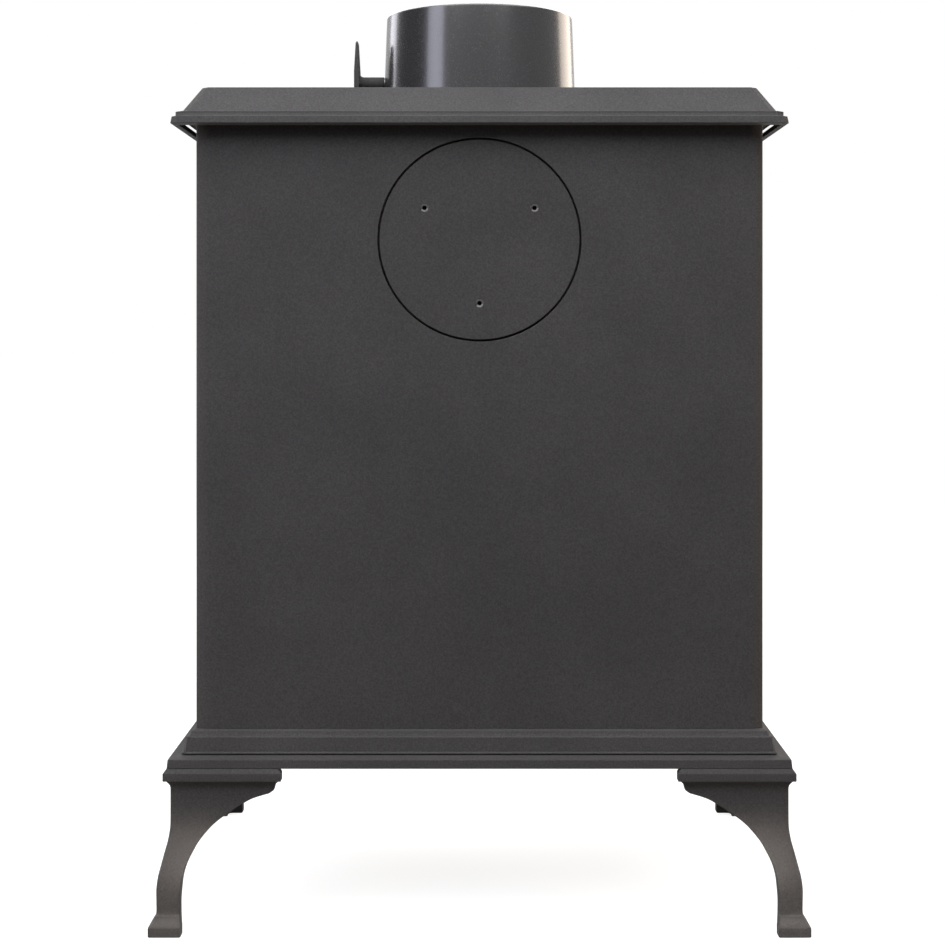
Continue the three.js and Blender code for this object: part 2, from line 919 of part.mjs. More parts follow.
function opening(half, bottom, upper, lap) {
  return block(
    [lap.side - half, half - lap.side],
    [frontFace - overrun, innerFront + overrun],
    [bottom + lap.bottom, upper - lap.top],
  );
}

function airSlots(yFrom, yTo) {
  const { width, height, count, pitch } = front.airSlot;
  return Array.from({ length: count }, (_, i) => {
    const middle = (i - (count - 1) / 2) * pitch;
    return block(
      [middle - width / 2, middle + width / 2],
      [yFrom, yTo],
      [airSlotBottom, airSlotBottom + height],
    );
  });
}

function sliderRail(edge, outward) {
  const { halfWidth: half, thickness, railWeb, railLip, railLap, travel } = airwash;
  const reach = half + travel;
  const lipBack = frontFace - thickness - 2 * clearance;
  const spanZ = (a, b) => [edge + outward * a, edge + outward * b].sort((p, q) => p - q);
  const web = block(
    [-reach, reach],
    [lipBack - railLip, frontFace + railWeb],
    spanZ(clearance, clearance + railWeb),
  );
  const lip = block(
    [-reach, reach],
    [lipBack - railLip, lipBack],
    spanZ(-railLap, clearance + railWeb),
  );
  return join(web, lip);
}

function knuckle(z) {
  return at(rod(hinge.knuckle, hinge.knuckleHeight, hinge.sides, "up"), hingeX, hingeY, z);
}

function frontShape() {
  const wall = fullWall().rotateZ(2 * quarterTurn);
  const rodHole = at(
    rod(grate.rod + 2 * clearance, body.wall + 2 * overrun, tieRod.sides, "rear"),
    0,
    frontFace - overrun,
    riddlingRodHeight,
  );
  const lugs = hingeHeights.map((z) => {
    const web = block(
      [hingeX - hinge.webWidth / 2, hingeX + hinge.webWidth / 2],
      [hingeY, frontFace + overrun],
      [z, z + hinge.knuckleHeight],
    );
    return join(knuckle(z), web);
  });
  const pinHoles = hingeHeights.map((z) =>
    at(
      rod(hingePin.shank + clearance, hinge.knuckleHeight + 2 * overrun, hinge.sides, "up"),
      hingeX,
      hingeY,
      z - overrun,
    ),
  );
  const rails = [sliderRail(sliderBottom, -1), sliderRail(sliderTop, 1)];
  return cut(
    join(wall, ...lugs, ...rails),
    opening(doorHalf, doorBottom, doorTop, front.doorLap),
    opening(drawerHalf, drawerBottom, drawerTop, front.drawerLap),
    ...airSlots(frontFace - overrun, innerFront + overrun),
    ...pinHoles,
    rodHole,
  );
}

const recessFloor = grateTop - grate.recessDepth;
const riddlingRodHeight = recessFloor + clearance + grate.rod;
add(stove, "front_frame", frontShape(), stovePaint);

// Hinge pins stand in the fixed knuckles, and the door's knuckles turn on them
const pinReach = 2 * hinge.knuckleHeight + 2 * clearance;
hingeHeights.forEach((z, i) => {
  const name = ["hinge_pin_lower", "hinge_pin_upper"][i];
  const shape = bolt(hingePin, pinReach, "down");
  add(stove, name, at(shape, hingeX, hingeY, z + pinReach + hingePin.headHeight), plainSteel);
});

// Airwash slider, open at rest
const airwashGroup = movingGroup(stove, 0, frontFace, sliderBottom);
const sliderFace = frontFace - clearance - airwash.thickness;
add(
  airwashGroup,
  "airwash_slider",
  cut(
    block(
      [-airwash.halfWidth, airwash.halfWidth],
      [sliderFace, frontFace - clearance],
      [sliderBottom, sliderTop],
    ),
    ...airSlots(sliderFace - overrun, frontFace + overrun),
  ),
  plainSteel,
);
add(
  airwashGroup,
  "airwash_knob",
  at(knobShape(smallKnob, "front"), 0, sliderFace, (sliderBottom + sliderTop) / 2),
  plainSteel,
);

// Door, drawn closed, which turns with all that it carries
const doorGroup = movingGroup(stove, hingeX, hingeY, doorBottom);
const doorBack = frontFace - door.gap;
const doorFace = doorBack - door.thickness;
const latchX = doorHalf - latch.fromEdge;
const latchHeight = (doorBottom + doorTop) / 2 - latch.belowMiddle;

// Arched outline in the door's plane, grown by a margin, as a plate from one depth forwards
function archPlate(margin, back, thickness) {
  const { windowRise, archSides } = door;
  const radius = (windowHalf ** 2 + windowRise ** 2) / (2 * windowRise) + margin;
  const centre = windowSpring + windowRise + margin - radius;
  const half = windowHalf + margin;
  const sweep = Math.asin(half / radius);
  const outline = new THREE.Shape();
  outline.moveTo(-half, windowBottom - margin);
  outline.lineTo(half, windowBottom - margin);
  for (let i = 0; i <= archSides; i++) {
    const angle = sweep - (2 * sweep * i) / archSides;
    outline.lineTo(radius * Math.sin(angle), centre + radius * Math.cos(angle));
  }
  outline.closePath();
  const plate = new THREE.ExtrudeGeometry(outline, { depth: thickness, bevelEnabled: false });
  return plate.rotateX(quarterTurn).translate(0, back, 0);
}

function doorSlab(half, bottom, upper, back, thickness, corner) {
  const rise = (upper - bottom) / 2;
  const slab = skin([cutRectangle(half, rise, 0, corner), cutRectangle(half, rise, thickness, corner)]);
  return slab.rotateX(quarterTurn).translate(0, back, (upper + bottom) / 2);
}

function doorKnuckle(z) {
  const lifted = z + hinge.knuckleHeight + clearance;
  const arm = block(
    [hingeX, -doorHalf + overrun],
    [hingeY - hinge.webWidth / 2, hingeY + hinge.webWidth / 2],
    [lifted, lifted + hinge.knuckleHeight],
  );
  return join(knuckle(lifted), arm);
}

const ropeFar = latchX + latch.boss + door.ropeFromEdge + door.ropeWidth;
const ropeBottom = doorBottom + front.doorLap.bottom - door.ropeFromEdge;
const ropeTop = doorTop - front.doorLap.top + door.ropeFromEdge;

function ropeRing(margin, back, frontDepth) {
  const frame = (grow, near, far) =>
    block(
      [-ropeFar - grow, ropeFar + grow],
      [near, far],
      [ropeBottom - door.ropeWidth / 2 - grow, ropeTop + door.ropeWidth / 2 + grow],
    );
  return cut(
    frame(margin, frontDepth, back),
    frame(-door.ropeWidth - margin, frontDepth - overrun, back + overrun),
  );
}

const glassFront = doorBack - door.glassRebate;

function glassPlate(margin, back, thickness) {
  const half = windowHalf + door.glassLap + margin;
  return block(
    [-half, half],
    [back - thickness, back],
    [windowBottom - door.glassLap - margin, windowSpring + door.windowRise + door.glassLap + margin],
  );
}

function doorShape() {
  const { thickness, edgeCut, borderWidth, mouldHeight, windowMould } = door;
  const slab = doorSlab(doorHalf, doorBottom, doorTop, doorBack, thickness, edgeCut);
  const border = cut(
    doorSlab(doorHalf, doorBottom, doorTop, doorFace + mouldHeight, 2 * mouldHeight, edgeCut),
    doorSlab(
      doorHalf - borderWidth,
      doorBottom + borderWidth,
      doorTop - borderWidth,
      doorFace + mouldHeight + overrun,
      2 * (mouldHeight + overrun),
      edgeCut,
    ),
  );
  const windowRing = archPlate(windowMould, doorFace + mouldHeight, 2 * mouldHeight);
  const boss = at(
    rod(latch.boss, latch.bossHeight + mouldHeight, latch.sides, "front"),
    latchX,
    doorFace + mouldHeight,
    latchHeight,
  );
  const shell = join(slab, border, windowRing, boss, ...hingeHeights.map(doorKnuckle));
  const windowHole = archPlate(0, doorBack + overrun, thickness + 2 * (mouldHeight + overrun));
  const rebate = glassPlate(clearance, doorBack + overrun, door.glassRebate + overrun);
  const groove = ropeRing(clearance, doorBack + overrun, doorBack - door.ropeGroove);
  const spindleHole = at(
    rod(latch.spindle + clearance, thickness + 4 * overrun + latch.bossHeight, latch.sides, "front"),
    latchX,
    doorBack + overrun,
    latchHeight,
  );
  const pinHoles = hingeHeights.map((z) =>
    at(
      rod(hingePin.shank + clearance, hinge.knuckleHeight + 2 * overrun, hinge.sides, "up"),
      hingeX,
      hingeY,
      z + hinge.knuckleHeight + clearance - overrun,
    ),
  );
  return cut(shell, windowHole, rebate, groove, spindleHole, ...pinHoles);
}

add(doorGroup, "door_casting", doorShape(), stovePaint);
add(
  doorGroup,
  "door_glass",
  glassPlate(0, glassFront + clearance + door.glassThickness, door.glassThickness),
  ceramicGlass,
);
add(
  doorGroup,
  "door_rope_seal",
  ropeRing(0, frontFace - clearance, doorBack - door.ropeGroove + clearance),
  sealRope,
);

const glassTop = windowSpring + door.windowRise + door.glassLap;
const glassFoot = windowBottom - door.glassLap;
const glassSide = windowHalf + door.glassLap;
const clipPlaces = [
  [-1, glassFoot + glassClip.fromEnd],
  [1, glassFoot + glassClip.fromEnd],
  [-1, glassTop - glassClip.fromEnd],
  [1, glassTop - glassClip.fromEnd],
];
clipPlaces.forEach(([hand, z], i) => {
  const inner = glassSide - glassClip.lap;
  const xs = [hand * inner, hand * (inner + glassClip.width)].sort((a, b) => a - b);
  const back = doorBack + clearance;
  const shape = block(
    xs,
    [back, back + glassClip.thickness],
    [z - glassClip.length / 2, z + glassClip.length / 2],
  );
  add(doorGroup, `glass_clip_${i + 1}`, shape, plainSteel);
});

// Handle, hanging and released at rest; a quarter turn swings its tongue behind the front wall
const handleGroup = movingGroup(doorGroup, latchX, doorFace, latchHeight);
const bossFace = doorFace - latch.bossHeight;
const hubBack = bossFace - clearance;
const hubFace = hubBack - handle.hubLength;
const tongueFront = innerFront + latch.inside;
const tongueBack = tongueFront + latch.thickness;

add(
  handleGroup,
  "handle_spindle",
  at(
    rod(latch.spindle, tongueBack + overrun - (hubFace + overrun), latch.sides, "rear"),
    latchX,
    hubFace + overrun,
    latchHeight,
  ),
  plainSteel,
);

function latchShape() {
  const hub = at(
    rod(latch.hub, latch.thickness, latch.sides, "rear"),
    latchX,
    tongueFront,
    latchHeight,
  );
  const tongue = block(
    [latchX - latch.tongueWidth / 2, latchX + latch.tongueWidth / 2],
    [tongueFront, tongueBack],
    [latchHeight - latch.tongueLength, latchHeight],
  );
  const bore = at(
    rod(latch.spindle + clearance, latch.thickness + 2 * overrun, latch.sides, "rear"),
    latchX,
    tongueFront - overrun,
    latchHeight,
  );
  return cut(join(hub, tongue), bore);
}

add(handleGroup, "door_latch", latchShape(), rawIron);

function handleShape() {
  const { hub, hubLength, armWidth, armThickness, armLength, gripRadius, gripLength, gripNeck, sides } =
    handle;
  const hubRound = at(rod(hub, hubLength, sides, "front"), latchX, hubBack, latchHeight);
  const arm = block(
    [latchX - armWidth / 2, latchX + armWidth / 2],
    [hubFace, hubFace + armThickness],
    [latchHeight - armLength + gripLength, latchHeight],
  );
  const neck = (gripLength - gripRadius) / 3;
  const grip = turned(
    [
      [0, 0],
      [gripNeck, 0],
      [gripRadius, neck],
      [gripRadius, 2 * neck],
      [gripNeck, gripLength],
      [0, gripLength],
    ],
    sides,
    "down",
  );
  const gripTop = latchHeight - armLength + gripLength + overrun;
  const seated = at(grip, latchX, hubFace + armThickness / 2, gripTop);
  const bore = at(
    rod(latch.spindle + clearance, hubLength, sides, "front"),
    latchX,
    hubBack + overrun,
    latchHeight,
  );
  return cut(join(hubRound, arm, seated), bore);
}

add(handleGroup, "door_handle", handleShape(), plainSteel);

// Ash drawer: front plate, air wheel, knobs and pan slide out together
const drawerBack = frontFace - clearance;
const drawerFace = drawerBack - drawer.thickness;
const wheelHeight = (drawerBottom + drawerTop) / 2;
const drawerGroup = movingGroup(stove, 0, drawerBack, drawerBottom);

function airRing(y, reach) {
  return Array.from({ length: drawer.airHoles }, (_, i) => {
    const angle = (i * fullTurn) / drawer.airHoles;
    return at(
      rod(drawer.airHole, reach, airStud.sides, "front"),
      drawer.airCircle * Math.cos(angle),
      y,
      wheelHeight + drawer.airCircle * Math.sin(angle),
    );
  });
}

function drawerFrontShape() {
  const slab = doorSlab(
    drawerHalf,
    drawerBottom,
    drawerTop,
    drawerBack,
    drawer.thickness,
    drawer.edgeCut,
  );
  const studHole = at(
    rod(airStud.shank + clearance, drawer.thickness + 2 * overrun, airStud.sides, "front"),
    0,
    drawerBack + overrun,
    wheelHeight,
  );
  return cut(slab, studHole, ...airRing(drawerBack + overrun, drawer.thickness + 2 * overrun));
}

add(drawerGroup, "ash_drawer_front", drawerFrontShape(), stovePaint);

// The pan's front edge meets the plate, and its floor lies on the rails of the base
const panFloor = bodyBottom + base.railHeight + clearance;
const panFront = drawerBack + clearance;

function panShape() {
  const { panWall, panRearGap, panTopGap } = drawer;
  const panRear = innerRear - panRearGap;
  const panTop = drawerTop - front.drawerLap.top - panTopGap;
  const outer = block([-panHalf, panHalf], [panFront, panRear], [panFloor, panTop]);
  const inner = block(
    [panWall - panHalf, panHalf - panWall],
    [panFront + panWall, panRear - panWall],
    [panFloor + panWall, panTop + overrun],
  );
  return cut(outer, inner);
}

add(drawerGroup, "ash_pan", panShape(), panSteel);
for (const [name, hand] of [["left", -1], ["right", 1]]) {
  const offset = hand * (drawerHalf - drawer.knobFromEnd);
  const shape = at(knobShape(knob, "front"), offset, drawerFace, wheelHeight);
  add(drawerGroup, `ash_drawer_knob_${name}`, shape, plainSteel);
}

// Air wheel, which turns on its stud over the ring of air holes
const wheelGroup = movingGroup(drawerGroup, 0, drawerFace, wheelHeight);
const wheelBack = drawerFace - clearance;

function airWheelShape() {
  const { radius, thickness, hub, hubLength, teeth, sides } = airWheel;
  const disc = at(rod(radius, thickness, sides, "front"), 0, wheelBack, wheelHeight);
  const centre = at(rod(hub, hubLength, sides, "front"), 0, wheelBack, wheelHeight);
  const bore = at(
    rod(airStud.shank + clearance, hubLength + 2 * overrun, airStud.sides, "front"),
    0,
    wheelBack + overrun,
    wheelHeight,
  );
  const grips = Array.from({ length: teeth }, (_, i) => {
    const angle = ((i + 1 / 2) * fullTurn) / teeth;
    const reach = radius + airWheel.web;
    return at(
      rod(2 * airWheel.web, thickness + 2 * overrun, airStud.sides, "front"),
      reach * Math.cos(angle),
      wheelBack + overrun,
      wheelHeight + reach * Math.sin(angle),
    );
  });
  const holes = airRing(wheelBack + overrun, thickness + 2 * overrun);
  return cut(join(disc, centre), bore, ...holes, ...grips);
}

add(wheelGroup, "air_wheel", airWheelShape(), plainSteel);

const studReach = airWheel.hubLength + clearance + drawer.thickness;
const studFront = wheelBack - airWheel.hubLength - clearance - airStud.headHeight;
const stud = at(bolt(airStud, studReach, "rear"), 0, studFront, wheelHeight);
add(drawerGroup, "air_wheel_stud", stud, plainSteel);

// Fire bed: a fixed grate on the side ledges and a slotted riddling plate in its recess
function grateSlots(height) {
  const { slotCount, slotPitch, slotWidth, slotHalfLength } = grate;
  return Array.from({ length: slotCount }, (_, i) => {
    const middle = (i - (slotCount - 1) / 2) * slotPitch;
    return block(
      [middle - slotWidth / 2, middle + slotWidth / 2],
      [-slotHalfLength, slotHalfLength],
      height,
    );
  });
}

function grateFrameShape() {
  const { recessHalfWidth, recessHalfDepth, cornerNotch, travel, rod: rodRadius } = grate;
  const [wide, deep] = [innerSide - clearance, innerRear - clearance];
  const plate = block([-wide, wide], [-deep, deep], [grateBottom, grateTop]);
  const notches = corners.map(({ x, y }) => {
    const xs = [x * (wide - cornerNotch), x * (wide + overrun)].sort((a, b) => a - b);
    const ys = [y * (deep - cornerNotch), y * (deep + overrun)].sort((a, b) => a - b);
    return block(xs, ys, [grateBottom - overrun, grateTop + overrun]);
  });
  const recess = block(
    [-recessHalfWidth, recessHalfWidth],
    [-recessHalfDepth - travel, recessHalfDepth],
    [recessFloor, grateTop + overrun],
  );
  const rodChannel = block(
    [-rodRadius - clearance, rodRadius + clearance],
    [-deep - overrun, 0],
    [recessFloor, grateTop + overrun],
  );
  const slots = grateSlots([grateBottom - overrun, grateTop + overrun]);
  return cut(plate, recess, rodChannel, ...slots, ...notches);
}

add(stove, "grate_frame", grateFrameShape(), rawIron);

const riddleFront = -grate.recessHalfDepth + clearance;
const riddleGroup = movingGroup(stove, 0, riddleFront, riddlingRodHeight);
const riddleBottom = recessFloor + clearance;
add(
  riddleGroup,
  "riddling_grate",
  cut(
    block(
      [clearance - grate.recessHalfWidth, grate.recessHalfWidth - clearance],
      [riddleFront, grate.recessHalfDepth - clearance],
      [riddleBottom, riddleBottom + grate.plateThickness],
    ),
    ...grateSlots([riddleBottom - overrun, grateTop + overrun]),
  ),
  rawIron,
);

const rodFront = frontFace - grate.knobStandOff;
const rodRear = riddleFront - clearance;
add(
  riddleGroup,
  "riddling_rod",
  at(rod(grate.rod, rodRear - rodFront, tieRod.sides, "rear"), 0, rodFront, riddlingRodHeight),
  plainSteel,
);
add(
  riddleGroup,
  "riddling_knob",
  at(knobShape(smallKnob, "front"), 0, rodFront - clearance, riddlingRodHeight),
  plainSteel,
);

// Log guard stands on the grate behind the door opening, between the side bricks
const rearBrickHalf = innerSide - brick.thickness - 2 * clearance;
const guardFront = innerFront + guard.fromFront;

function guardShape() {
  const half = rearBrickHalf - guard.endGap;
  const bar = block(
    [-half, half],
    [guardFront, guardFront + guard.thickness],
    [grateTop + clearance, grateTop + clearance + guard.height],
  );
  const foot = (guard.height - guard.slotHeight) / 2;
  const slots = Array.from({ length: guard.count }, (_, i) => {
    const middle = (i - (guard.count - 1) / 2) * guard.pitch;
    return block(
      [middle - guard.slotWidth / 2, middle + guard.slotWidth / 2],
      [guardFront - overrun, guardFront + guard.thickness + overrun],
      [grateTop + clearance + foot, grateTop + clearance + foot + guard.slotHeight],
    );
  });
  return cut(bar, ...slots);
}

add(stove, "log_guard", guardShape(), rawIron);

// Fire bricks stand on the grate, and the baffle lies across the side bricks
const brickBottom = grateTop + clearance;
for (const [name, hand] of [["brick_left", -1], ["brick_right", 1]]) {
  const outer = innerSide - clearance;
  const xs = [hand * outer, hand * (outer - brick.thickness)].sort((a, b) => a - b);
  const shape = block(
    xs,
    [innerFront + brick.endGap, innerRear - brick.endGap],
    [brickBottom, brickBottom + brick.sideHeight],
  );
  add(stove, name, shape, fireBrick);
}

const rearBrickBack = innerRear - brick.fromRear;
add(
  stove,
  "brick_rear",
  block(
    [-rearBrickHalf, rearBrickHalf],
    [rearBrickBack - brick.thickness, rearBrickBack],
    [brickBottom, outletHeight - clampRadius - brick.belowClamp],
  ),
  fireBrick,
);

const baffleBottom = brickBottom + brick.sideHeight + clearance;
add(
  stove,
  "baffle_plate",
  block(
    [baffle.fromSide - innerSide + tieRod.inset, innerSide - tieRod.inset - baffle.fromSide],
    [innerFront + baffle.fromFront, innerRear - baffle.fromRear],
    [baffleBottom, baffleBottom + baffle.thickness],
  ),
  rawIron,
);

// The part's origin is the middle of its footprint, on the hearth
const bounds = new THREE.Box3().setFromObject(stove);
const middle = bounds.getCenter(new THREE.Vector3());
stove.position.set(-middle.x, -middle.y, -bounds.min.z);

export default stove;
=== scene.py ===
# Looks of a cast iron stove, seen from its rear as in the photograph. The door faces -Y, and left is -X.
# Camera and studio are in metres. Tables, profiles and outlines of the castings are in millimetres from
# the stove's own middle, which lies REAR_SHIFT in front of the middle of its footprint.
import json
import math

import bmesh
import bpy
from mathutils import Matrix, Vector


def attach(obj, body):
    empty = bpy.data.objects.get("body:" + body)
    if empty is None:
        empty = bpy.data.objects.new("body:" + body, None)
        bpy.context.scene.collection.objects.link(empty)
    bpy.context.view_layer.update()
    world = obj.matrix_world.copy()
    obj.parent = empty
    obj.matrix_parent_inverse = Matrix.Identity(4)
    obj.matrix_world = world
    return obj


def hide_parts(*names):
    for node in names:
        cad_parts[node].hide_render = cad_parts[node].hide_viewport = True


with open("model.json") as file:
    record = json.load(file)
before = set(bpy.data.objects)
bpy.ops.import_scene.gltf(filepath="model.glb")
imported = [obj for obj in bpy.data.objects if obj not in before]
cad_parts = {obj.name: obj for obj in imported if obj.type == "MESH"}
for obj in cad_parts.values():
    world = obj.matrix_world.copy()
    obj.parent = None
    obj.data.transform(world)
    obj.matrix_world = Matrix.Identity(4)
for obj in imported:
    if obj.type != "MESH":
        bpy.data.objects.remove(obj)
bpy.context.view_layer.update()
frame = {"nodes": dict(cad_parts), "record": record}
nodes = frame["nodes"]

MM = 0.001
QUARTER = math.pi / 2
REAR_SHIFT = 4.45
BODY = {"half_width": 216.5, "half_depth": 155, "bottom": 149.3, "top": 614.7, "wall": 8}
COLLAR = {"foot": 77.5, "rim": 75, "bore": 70, "bottom": 638.5, "top": 705.4, "y": 61}
OUTLET = {"z": 521.9, "radius": 76.2, "hole": 77.8, "circle": 48.4}
SPINDLE_HEIGHT = 653.9
ROD = {"inset": 13, "hole": 4.3, "bottom": 107.2, "top": 634.2}


def linear(colour):
    """Linear RGBA of an sRGB hex colour."""
    channels = [int(colour[i : i + 2], 16) / 255 for i in (1, 3, 5)]
    flat = [c / 12.92 if c <= 0.04045 else ((c + 0.055) / 1.055) ** 2.4 for c in channels]
    return (*flat, 1)


def put(name, data):
    """New object in the scene."""
    made = bpy.data.objects.new(name, data)
    bpy.context.scene.collection.objects.link(made)
    return made


def node(tree, kind, inputs=(), **settings):
    """Adds a node: inputs are values or links by socket name or number, settings are its properties."""
    made = tree.nodes.new(kind)
    for name, value in settings.items():
        setattr(made, name, value)
    for key, value in dict(inputs).items():
        if isinstance(value, bpy.types.NodeSocket):
            tree.links.new(value, made.inputs[key])
        else:
            made.inputs[key].default_value = value
    return made


def result(tree, kind, inputs=(), **settings):
    """First output of a new node."""
    return node(tree, kind, inputs, **settings).outputs[0]


def maths(tree, operation, *values):
    """Result of an operation on values or links."""
    return result(tree, "ShaderNodeMath", dict(enumerate(values)), operation=operation)


def vectors(tree, operation, inputs):
    """Result of an operation on vectors, given by socket name or number."""
    return result(tree, "ShaderNodeVectorMath", inputs, operation=operation)


def spanned(tree, value, span, to_span=(0, 1), fade="LINEAR"):
    """A value brought from one span to another, and held at its ends."""
    inputs = {"Value": value, "From Min": span[0], "From Max": span[1],
              "To Min": to_span[0], "To Max": to_span[1]}
    return result(tree, "ShaderNodeMapRange", inputs, interpolation_type=fade)


# Camera: level, behind the stove, where the photograph was taken from
PHOTO_SIDE = 945
PHOTO_FOCAL = 1838.4
PHOTO_AXIS = (479.53, 337)
CAMERA_PLACE = (0, 1.55945, 0.4477)
SENSOR = 36

lens = bpy.data.cameras.new("photo_camera")
lens.sensor_width = SENSOR
lens.lens = PHOTO_FOCAL * SENSOR / PHOTO_SIDE
lens.shift_x = (PHOTO_SIDE / 2 - PHOTO_AXIS[0]) / PHOTO_SIDE
lens.shift_y = (PHOTO_AXIS[1] - PHOTO_SIDE / 2) / PHOTO_SIDE
lens.clip_end = 100
camera = put("photo_camera", lens)
camera.location = CAMERA_PLACE
camera.rotation_euler = (QUARTER, 0, 2 * QUARTER)
bpy.context.scene.camera = camera
bpy.context.scene.view_settings.view_transform = "Standard"


# Studio: a white world, banks overhead, lamps in front and at the sides, and small ones at the legs.
# Lamps are named by the photograph's left and right.
def lamp(name, place, aim, size, power, colour, beam=180):
    """Area lamp at a place, turned to its aim, with a beam so many degrees wide."""
    data = bpy.data.lights.new(name, "AREA")
    data.shape = "RECTANGLE"
    data.size, data.size_y = size
    data.energy = power
    data.spread = math.radians(beam)
    data.color = linear(colour)[:3]
    made = put(name, data)
    made.location = place
    made.rotation_euler = (Vector(aim) - Vector(place)).to_track_quat("-Z", "Y").to_euler()


lamp("overhead_bank", (0, 0.86, 1.16), (0, 0.84, 0), (1.6, 1.1), 20.5, "#ffffff")
lamp("top_bank", (0, 0.15, 1.9), (0, 0.2, 0.3), (1.6, 0.6), 18, "#ffffff")
lamp("front_softbox", (0, -1.9, 1.9), (0, 0, 0.35), (2.0, 1.0), 33, "#ffffff")
lamp("left_strip", (1.87, 1.4, 1.35), (0, 0, 0.75), (0.85, 1.2), 20, "#eceeff")
lamp("right_rim", (-2.05, -1.75, 1.0), (0, 0.1, 0.4), (1.7, 2.2), 50, "#ffeedd")
lamp("left_rim", (2.1, -1.8, 1.0), (0, 0.1, 0.4), (0.9, 2.2), 26, "#f8f6ff")
lamp("left_low", (0.95, 0.23, 0.33), (0.2, 0.17, 0.3), (0.12, 0.6), 2.4, "#ffeedc")
lamp("right_low", (-0.95, 0.23, 0.33), (-0.2, 0.17, 0.3), (0.12, 0.6), 3, "#ffe6d0")
LEG_LAMPS = (
    ("leg_light", (0.24, 0.36, 0.03), (0.22, 0.17, 0.04), (0.1, 0.03), 0.08, "#ffefdf", 180),
    ("foot_light", (0.22, 0.25, 0.13), (0.22, 0.21, 0), (0.1, 0.02), 0.035, "#fff2e4", 50),
    ("shank_light", (0.22, 0.4, 0.13), (0.205, 0.18, 0.057), (0.06, 0.02), 0.014, "#fff2e4", 18),
)
for name, place, aim, size, power, colour, beam in LEG_LAMPS:
    for side, hand in (("left_", 1), ("right_", -1)):
        lamp(side + name, (hand * place[0], *place[1:]), (hand * aim[0], *aim[1:]), size, power, colour, beam)

WORLD_LIGHT = 0.02
REFLECTED_WORLD = 0.7
REFLECTED_LEFT = 0.1
SCREEN_EDGE = (0.78, 0.9)  # where the dark screen begins and is full, as a direction's X


def make_world():
    """White to the eye and through glass, light grey in gloss with a dark screen at the camera's left, and
    dim as a light."""
    world = bpy.data.worlds.new("studio")
    world.use_nodes = True
    tree = world.node_tree
    tree.nodes.clear()
    path = node(tree, "ShaderNodeLightPath").outputs
    seen = maths(tree, "MAXIMUM", path["Is Camera Ray"], path["Is Transmission Ray"])
    direction = node(tree, "ShaderNodeTexCoord").outputs["Generated"]
    parts = node(tree, "ShaderNodeSeparateXYZ", {0: direction}).outputs
    screen = spanned(tree, parts["X"], SCREEN_EDGE, (REFLECTED_WORLD, REFLECTED_LEFT), "SMOOTHSTEP")
    gloss = result(tree, "ShaderNodeMix", {0: path["Is Glossy Ray"], 2: WORLD_LIGHT, 3: screen})
    level = result(tree, "ShaderNodeMix", {0: seen, 2: gloss, 3: 1.0})
    light = result(tree, "ShaderNodeBackground", {"Color": linear("#ffffff"), "Strength": level})
    node(tree, "ShaderNodeOutputWorld", {"Surface": light})
    bpy.context.scene.world = world


make_world()


# Finishes
def new_finish(name):
    material = bpy.data.materials.new(name)
    material.use_nodes = True
    tree = material.node_tree
    tree.nodes.clear()
    return material, tree, node(tree, "ShaderNodeTexCoord").outputs["Object"]


def finished(material, inputs):
    """The material with its surface, whose inputs are values or links by name."""
    surface = result(material.node_tree, "ShaderNodeBsdfPrincipled", inputs)
    node(material.node_tree, "ShaderNodeOutputMaterial", {"Surface": surface})
    return material


def noise(tree, place, size_mm, detail=2.0, roughness=0.5):
    """Noise whose grains are about size_mm across."""
    return node(tree, "ShaderNodeTexNoise",
                {"Vector": place, "Scale": 1 / (size_mm * MM), "Detail": detail,
                 "Roughness": roughness}).outputs["Fac"]


def cells(tree, place, size_mm):
    """Red, green and blue of cells about size_mm across, each its own."""
    inputs = {"Vector": place, "Scale": 1 / (size_mm * MM), "Randomness": 1.0}
    flakes = node(tree, "ShaderNodeTexVoronoi", inputs, feature="F1")
    return node(tree, "ShaderNodeSeparateColor", {0: flakes.outputs["Color"]}).outputs


def tinted(tree, share, first, second):
    """Colour between two, which are hex colours, linear colours or links."""
    ends = [linear(end) if isinstance(end, str) else end for end in (first, second)]
    return node(tree, "ShaderNodeMix", {0: share, 6: ends[0], 7: ends[1]}, data_type="RGBA").outputs[2]


def bumped(tree, height, depth_mm, strength, under=None):
    """Normal of a relief depth_mm deep, over the normal under it."""
    inputs = {"Height": height, "Distance": depth_mm * MM, "Strength": strength}
    if under is not None:
        inputs["Normal"] = under
    return result(tree, "ShaderNodeBump", inputs)


# Floor
FLOOR_REACH = 40
FLOOR_GLOW = 0.86
FLOOR_FADE = (0.6, 2.2)  # how far from the stove the glow rises to full white
FLOOR_SHADE = 0.34
FLOOR_PAPER = 0.04


